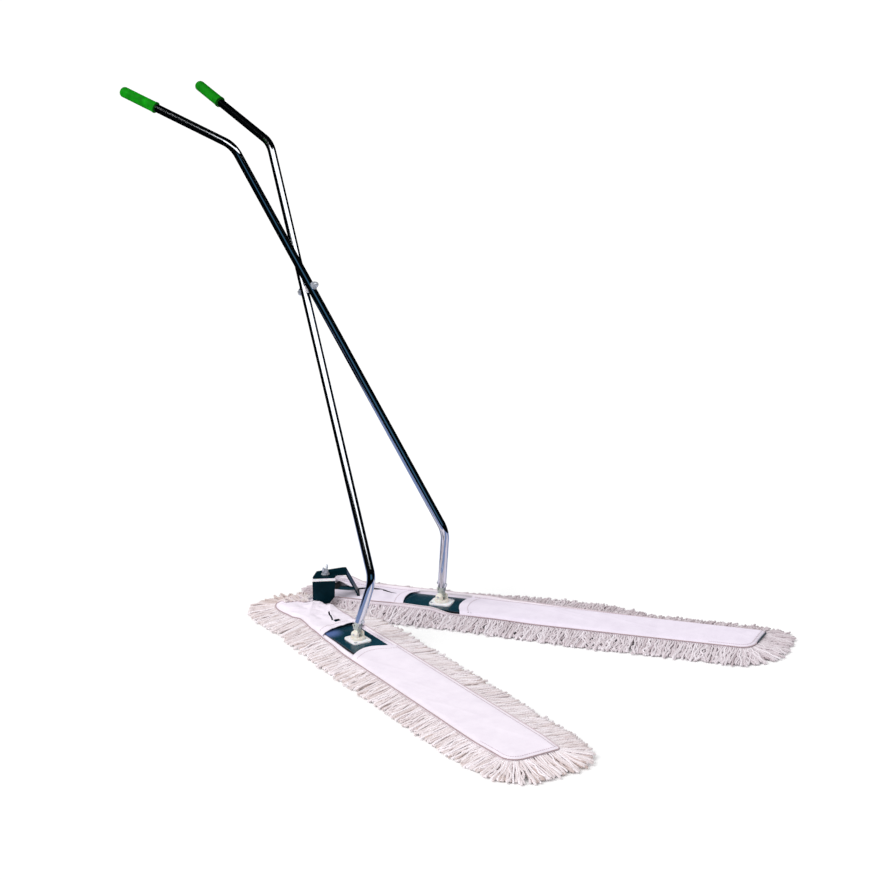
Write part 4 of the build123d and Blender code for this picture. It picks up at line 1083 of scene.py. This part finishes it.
def handle_corners(side):
    """Tube's end, lower bend, upper bend and tube's other end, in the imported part's own dimensions."""
    foot, cross = JOINTS[f"{side}_scissor"], JOINTS["cross_pivot"]
    spread = np.arctan2(abs(foot[1] - cross[1]), (cross - foot) @ RISE)
    main = RISE * np.cos(spread) - ACROSS * WAY[side] * np.sin(spread)
    apart = ACROSS * WAY[side] * np.cos(spread) + RISE * np.sin(spread)
    tail = main * np.cos(LOWER_BEND[side]) + BOLT * np.sin(LOWER_BEND[side])
    splay = BOLT * np.cos(GRIP_SPLAY) + apart * np.sin(GRIP_SPLAY)
    grip = main * np.cos(UPPER_BEND) - splay * np.sin(UPPER_BEND)
    hole = cross + BOLT * WAY[side] * (TUBE_RADIUS + CROSS_GAP / 2)
    lower = foot + tail * ((hole - foot) @ BOLT) / np.sin(LOWER_BEND[side])
    upper = hole + main * UPPER_REACH
    return foot + tail * TUBE_START, lower, upper, upper + grip * GRIP_LEG


def rounded(a, b, c, radius, steps=28):
    """Points of the arc that rounds the corner at b: turned about its centre from one leg to the other."""
    back, on = unit(a - b), unit(c - b)
    half = np.arccos(back @ on) / 2
    middle, over = unit(back + on), unit(on - back)
    centre = b + middle * radius / np.sin(half)
    turn = np.linspace(half - np.pi / 2, np.pi / 2 - half, steps)[:, None]
    return centre - radius * (middle * np.cos(turn) - over * np.sin(turn))


# %% Handle tubes
for side in WAY:
    low, lower, upper, end = handle_corners(side)
    first, last = unit(lower - low), unit(end - upper)
    line = np.concatenate([[low, low + first], rounded(low, lower, upper, BEND_RADIUS),
                           rounded(lower, upper, end, BEND_RADIUS), [end - last, end]])
    along = np.gradient(line, axis=0)
    along[:3], along[-3:] = first, last
    along = unit(along)
    level = unit(ACROSS - (along @ ACROSS)[:, None] * along)
    turn = np.linspace(0, 2 * np.pi, 40, endpoint=False)[:, None]
    ring = level[:, None] * np.cos(turn) + np.cross(along, level)[:, None] * np.sin(turn)
    points = line[:, None] + TUBE_RADIUS * ring
    faces = grid_faces(*points.shape[:2], close_columns=True)
    tube = piece(f"{side}_chrome_tube", points.reshape(-1, 3) / 1000, faces, CHROME, f"{side}_handle")
    thicken(tube, "wall", TUBE_WALL)
    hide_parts(f"{side}_tube")
    packed = node_points(f"{side}_tube") * 1000
    step = line[1:] - line[:-1]
    share = np.clip(((packed[:, None] - line[:-1]) * step).sum(-1) / (step * step).sum(-1), 0, 1)
    off = np.linalg.norm(packed[:, None] - line[:-1] - share[..., None] * step, axis=-1).min(1)
    print(tube.name, "packed surface lies", np.round([off.min(), off.max()], 2), "mm from the centre line")

# %% [markdown]
# The frame plates and hinge brackets are pressed steel with a stoved blue-black enamel. It is glossy,
# slightly pebbled like all sprayed paint, and rubbed paler here and there. On the near plate a pale blue
# patch is a painted highlight, and the plates' turned-down edges are painted nearly black as shade.

# %% Stoved enamel
# Levels below which a plate's edge has its full painted shade, and above which it has none
EDGE_SHADE_FULL, EDGE_SHADE_NONE = FRAME_TOP - 2.6, FRAME_TOP - 0.8


def stoved_enamel(name, deep, worn, rough, gloss, highlight_place=None):
    """Clouded paint with a pebbled bump; given a place, also a painted highlight there and painted shade on
    the low edges.
    """
    finish, tree = new_finish(name, Roughness=rough, Specular_IOR_Level=gloss)
    place = own_place(tree)
    # Rubbed patches about 55 mm across, and pebbles about 1.4 mm
    paint = ramp(tree, noise(tree, place, 18.0, 7.0, 0.65), (0.35, deep), (0.75, worn))
    pebble = noise(tree, place, 700.0, 2.0)
    if highlight_place is not None:
        # Painted highlight: a pale blue patch round the given place; painted shade: near black on the low
        # edges
        off = add(tree, "ShaderNodeVectorMath", {0: place, 1: highlight_place}, operation="DISTANCE").outputs["Value"]
        painted_highlight = ranged(tree, off, 0.9, 0.0, 0.006, 0.036, "SMOOTHSTEP")
        height = add(tree, "ShaderNodeSeparateXYZ", {0: place}).outputs["Z"]
        clear = ranged(tree, height, 0.0, 1.0, EDGE_SHADE_FULL / 1000, EDGE_SHADE_NONE / 1000)
        paint = mix(tree, clear, linear("#020C10"), mix(tree, painted_highlight, paint, linear("#5C74AC")))
    wear(tree, Base_Color=paint, Normal=bumped(tree, pebble, 0.08, 0.0003))
    return finish


# Where the painted highlight sits on the near plate
PAINTED_HIGHLIGHT_PLACE = on_mop("near", 196.0, 94.0, FRAME_TOP)
PLATE = stoved_enamel("stoved_enamel_plate", "#0E3442", "#1A4656", 0.22, 0.35, PAINTED_HIGHLIGHT_PLACE)
BRACKET = stoved_enamel("stoved_enamel_bracket", "#021A22", "#0A2C38", 0.3, 0.03)
print("enamels", PLATE.name, BRACKET.name)

# %% [markdown]
# Nylon for the swivel bases and the hinge spacer is moulded and white, with the soft gloss of a mould
# surface, and the domes on them have yellowed. Zinc plate on the bolts and rivets is bright but uneven, and
# the cast zinc forks are greyer and rougher still.

# %% Nylon and zinc
def moulded_nylon(name, pale, dark):
    """A soft gloss, a little light passing in, and a faint cloudiness between two near whites."""
    finish, tree = new_finish(name, Roughness=0.42, Subsurface_Weight=0.08, Subsurface_Scale=0.002)
    # Flow marks of the mould, about 11 mm across
    cloud = noise(tree, own_place(tree), 90.0, 4.0)
    wear(tree, Base_Color=ramp(tree, cloud, (0.3, dark), (0.7, pale)))
    return finish


NYLON = moulded_nylon("moulded_nylon", "#FFFDFF", "#F1EFF6")
AGED_NYLON = moulded_nylon("aged_nylon", "#F3EFE6", "#E0D9CC")


def zinc(name, pale, dark, rough, grain, metal):
    """One noise of the zinc's grain size for colour, gloss and bump alike."""
    finish, tree = new_finish(name, Metallic=metal)
    cloud = noise(tree, own_place(tree), 1 / grain, 5.0, 0.6)
    wear(tree, Base_Color=ramp(tree, cloud, (0.3, dark), (0.7, pale)),
         Roughness=ranged(tree, cloud, rough - 0.1, rough + 0.1), Normal=bumped(tree, cloud, 0.15, 0.0002))
    return finish


PLATED = zinc("bright_zinc_plate", "#E6E9F2", "#C4CAD4", 0.32, 0.006, 0.6)
CAST = zinc("cast_zinc", "#DDE1DB", "#BCC3BB", 0.45, 0.002, 0.45)
print("nylon and zinc", [f.name for f in (NYLON, AGED_NYLON, PLATED, CAST)])

# %% [markdown]
# The grips are dipped soft vinyl in a strong green: thick, faintly dimpled, with a broad soft highlight.
# The near one is the deeper green. At the mouth, against the tube, the vinyl is painted nearly black as
# shade.

# %% Vinyl grips
GRIP_MOUTH = 217.0
GREEN = {"near": "#0A860B", "far": "#0AA00D"}


def dipped_vinyl(name, mouth, along, pale):
    """Clouded green with dimples, and painted shade near the mouth, set by the distance along the grip from
    it.
    """
    finish, tree = new_finish(name, Roughness=0.5, Specular_IOR_Level=0.05)
    place = own_place(tree)
    # Clouds about 17 mm across, and dimples about 2 mm
    green = ramp(tree, noise(tree, place, 60.0, 4.0), (0.3, "#047406"), (0.7, pale))
    dimple = add(tree, "ShaderNodeTexVoronoi", {"Vector": place, "Scale": 500.0}).outputs["Distance"]
    off = add(tree, "ShaderNodeVectorMath", {0: place, 1: mouth}, operation="SUBTRACT").outputs["Vector"]
    inward = add(tree, "ShaderNodeVectorMath", {0: off, 1: along}, operation="DOT_PRODUCT").outputs["Value"]
    # Painted shade: the vinyl turns near black within about a millimetre of the mouth
    grip_mouth_shade = ranged(tree, inward, 0.6, 0.0, 0.0003, 0.0012, "SMOOTHSTEP")
    wear(tree, Base_Color=mix(tree, grip_mouth_shade, green, linear("#021404")), Normal=bumped(tree, dimple, 0.2, 0.0004))
    return finish


VINYL = {}
for side in WAY:
    *_, upper, end = handle_corners(side)
    along = unit(end - upper)
    mouth = (upper + along * GRIP_MOUTH) / 1000
    VINYL[side] = dipped_vinyl(f"dipped_green_vinyl_{side}", mouth, along, GREEN[side])
print("grip finishes", [f.name for f in VINYL.values()])

# %% [markdown]
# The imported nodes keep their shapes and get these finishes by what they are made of, which the ends of
# their names tell. What shows of the rest is bolts, nuts, pins, washers and rivets, and they are zinc
# plated.

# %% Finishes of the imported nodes
WEARS = {"frame": PLATE, "bracket": BRACKET, "swivel_base": NYLON, "turret": AGED_NYLON,
         "hinge_spacer": NYLON, "cross_spacer": NYLON, "tube": CHROME, "near_grip": VINYL["near"],
         "far_grip": VINYL["far"], "fork": CAST, "knuckle": CAST}
for name, node in frame["nodes"].items():
    finish = next((f for word, f in WEARS.items() if name.endswith(word)), PLATED)
    node.data.materials.clear()
    node.data.materials.append(finish)
print("packed nodes finished", len(frame["nodes"]))

# %% [markdown]
# The studio is a white floor that runs out of sight under one large soft lamp, with a plain white world for
# the shadow side. Together they light a level surface just once over, so colours come out as they were
# written.

# %% Floor, world and lamp
scene = bpy.context.scene
scene.view_settings.view_transform = "Standard"
WORLD_LIGHT, LAMP_LIGHT = 0.71, 0.35
LAMP_BEARING, LAMP_HEIGHT = np.radians(-112), np.radians(46)

world = bpy.data.worlds.new("white_studio")
scene.world = world
world.use_nodes = True
tree = world.node_tree
path = add(tree, "ShaderNodeLightPath")
sees = path.outputs["Is Camera Ray"]
for kind in ("Is Glossy Ray", "Is Transmission Ray"):
    sees = add(tree, "ShaderNodeMath", {0: sees, 1: path.outputs[kind]}, operation="MAXIMUM").outputs[0]
put(tree, tree.nodes["Background"], {"Color": (1, 1, 1, 1), "Strength": ranged(tree, sees, WORLD_LIGHT, 1.0)})


def seen_from(bearing, height):
    """The direction at a bearing and a height above the floor: cosines round, and the sine up."""
    return np.stack([np.cos(height) * np.cos(bearing), np.cos(height) * np.sin(bearing), np.sin(height)], -1)


lamp = bpy.data.objects.new("lamp", bpy.data.lights.new("lamp", "SUN"))
scene.collection.objects.link(lamp)
lamp.data.angle = np.radians(40)
lamp.data.energy = LAMP_LIGHT * np.pi / np.sin(LAMP_HEIGHT)
lamp_way = Vector(seen_from(LAMP_BEARING, LAMP_HEIGHT))
lamp.rotation_mode = "QUATERNION"
lamp.rotation_quaternion = lamp_way.to_track_quat("Z", "Y")


def stage_piece(name, points, faces, finish, only_reflected=False):
    """A piece of the studio, which may be made to show in reflections alone."""
    mesh = bpy.data.meshes.new(name)
    mesh.from_pydata(np.reshape(points, (-1, 3)).tolist(), [], np.asarray(faces).tolist())
    made = bpy.data.objects.new(name, mesh)
    scene.collection.objects.link(made)
    made.data.materials.append(finish)
    if only_reflected:
        made.visible_camera = made.visible_diffuse = made.visible_shadow = made.visible_transmission = False


FLOOR_REACH, FLOOR_LEVEL = 60, -0.0004
PAPER, _ = new_finish("white_paper", Base_Color=(1, 1, 1, 1), Roughness=1.0, Specular_IOR_Level=0.0)
corners = [(x * FLOOR_REACH, y * FLOOR_REACH, FLOOR_LEVEL) for x, y in ((-1, -1), (1, -1), (1, 1), (-1, 1))]
stage_piece("floor", corners, [(0, 1, 2, 3)], PAPER)
print("lit by a lamp of", round(lamp.data.energy, 2), "and a world of", WORLD_LIGHT)

# %% [markdown]
# Chrome shows what stands around it: here that is a dark studio with one bright panel where the lamp is, a
# dimmer one under it, and a floor that is bright, and a little blue, only close by. Those are stage pieces
# that only reflections see.

# %% Dark surroundings for the chrome
def glow(name, code, strength=1.0):
    """A finish that only shines, in a hex colour."""
    return new_finish(name, Base_Color=(0, 0, 0, 1), Roughness=1.0, Specular_IOR_Level=0.0,
                      Emission_Color=linear(code), Emission_Strength=strength)[0]


def panel(name, bearings, heights, reach, finish, sag=0.0):
    """A piece of a sphere between two bearings and two heights, in degrees, seen from the origin.

    Its lower edge sags toward the first bearing.
    """
    b, h = np.meshgrid(np.linspace(0, 1, 25), np.linspace(0, 1, 13))
    h = np.radians(heights[0] + (heights[1] - heights[0]) * h - sag * (1 - h) * (1 - smooth_step(b, 0, 0.4)))
    b = np.radians(bearings[0] + (bearings[1] - bearings[0]) * b)
    stage_piece(name, reach * seen_from(b, h), grid_faces(*b.shape), finish, only_reflected=True)


DARK, FLOOR_GLOW = glow("dark_studio", "#030506"), glow("floor_glow", "#8798C0")
panel("dark_wall", (-180, 180), (-3, 90), 50.0, DARK)
panel("lamp_panel", (-98.1, 28), (35.5, 54), 40.0, glow("lamp_glow", "#FFFFFF", 1.7), sag=11.0)
panel("low_panel", (-60, -12), (5, 19), 42.0, glow("low_glow", "#3A6078"))
GLOW_RADII, GLOW_LEVEL = (0.01, 1.0, 52.0), 0.0002
bearing = np.linspace(0, 2 * np.pi, 65)
points = np.multiply.outer(GLOW_RADII, seen_from(bearing, 0 * bearing)) + (0, 0, GLOW_LEVEL)
near_ring, dark_ring = np.split(grid_faces(3, 65)[:, ::-1], 2)
stage_piece("near_floor", points, near_ring, FLOOR_GLOW, only_reflected=True)
stage_piece("dark_floor", points, dark_ring, DARK, only_reflected=True)
print("stage pieces reflected in the chrome: 5")

# %% [markdown]
# The camera stands where the photographer's did: its place and direction were found by fitting the mop's
# known points. Its lens is as long as 2018 of the 880 points across the picture, taken on a sensor 36 mm
# wide.

# %% Camera
CAMERA_AT = HINGE * (1, 1, 0) + np.array([3032.19, -3273.45, 1678.95])
YAW, PITCH, ROLL = np.radians([129.31, -15.93, -0.77])
PICTURE_WIDTH, FOCAL_LENGTH, SENSOR_WIDTH = 880, 2018.36, 36.0
ahead = seen_from(YAW, PITCH)
right = np.array([np.sin(YAW), -np.cos(YAW), 0])
up = np.cross(right, ahead)
right, up = np.cos(ROLL) * right + np.sin(ROLL) * up, np.cos(ROLL) * up - np.sin(ROLL) * right
eye = bpy.data.objects.new("camera", bpy.data.cameras.new("camera"))
scene.collection.objects.link(eye)
eye.data.sensor_width = SENSOR_WIDTH
eye.data.lens = SENSOR_WIDTH * FOCAL_LENGTH / PICTURE_WIDTH
eye.data.clip_end = 200
place = np.eye(4)
place[:3] = np.stack([right, up, -ahead, CAMERA_AT / 1000], 1)
eye.matrix_world = Matrix(place.tolist())
scene.camera = eye
print("lens", round(eye.data.lens, 2), "mm")
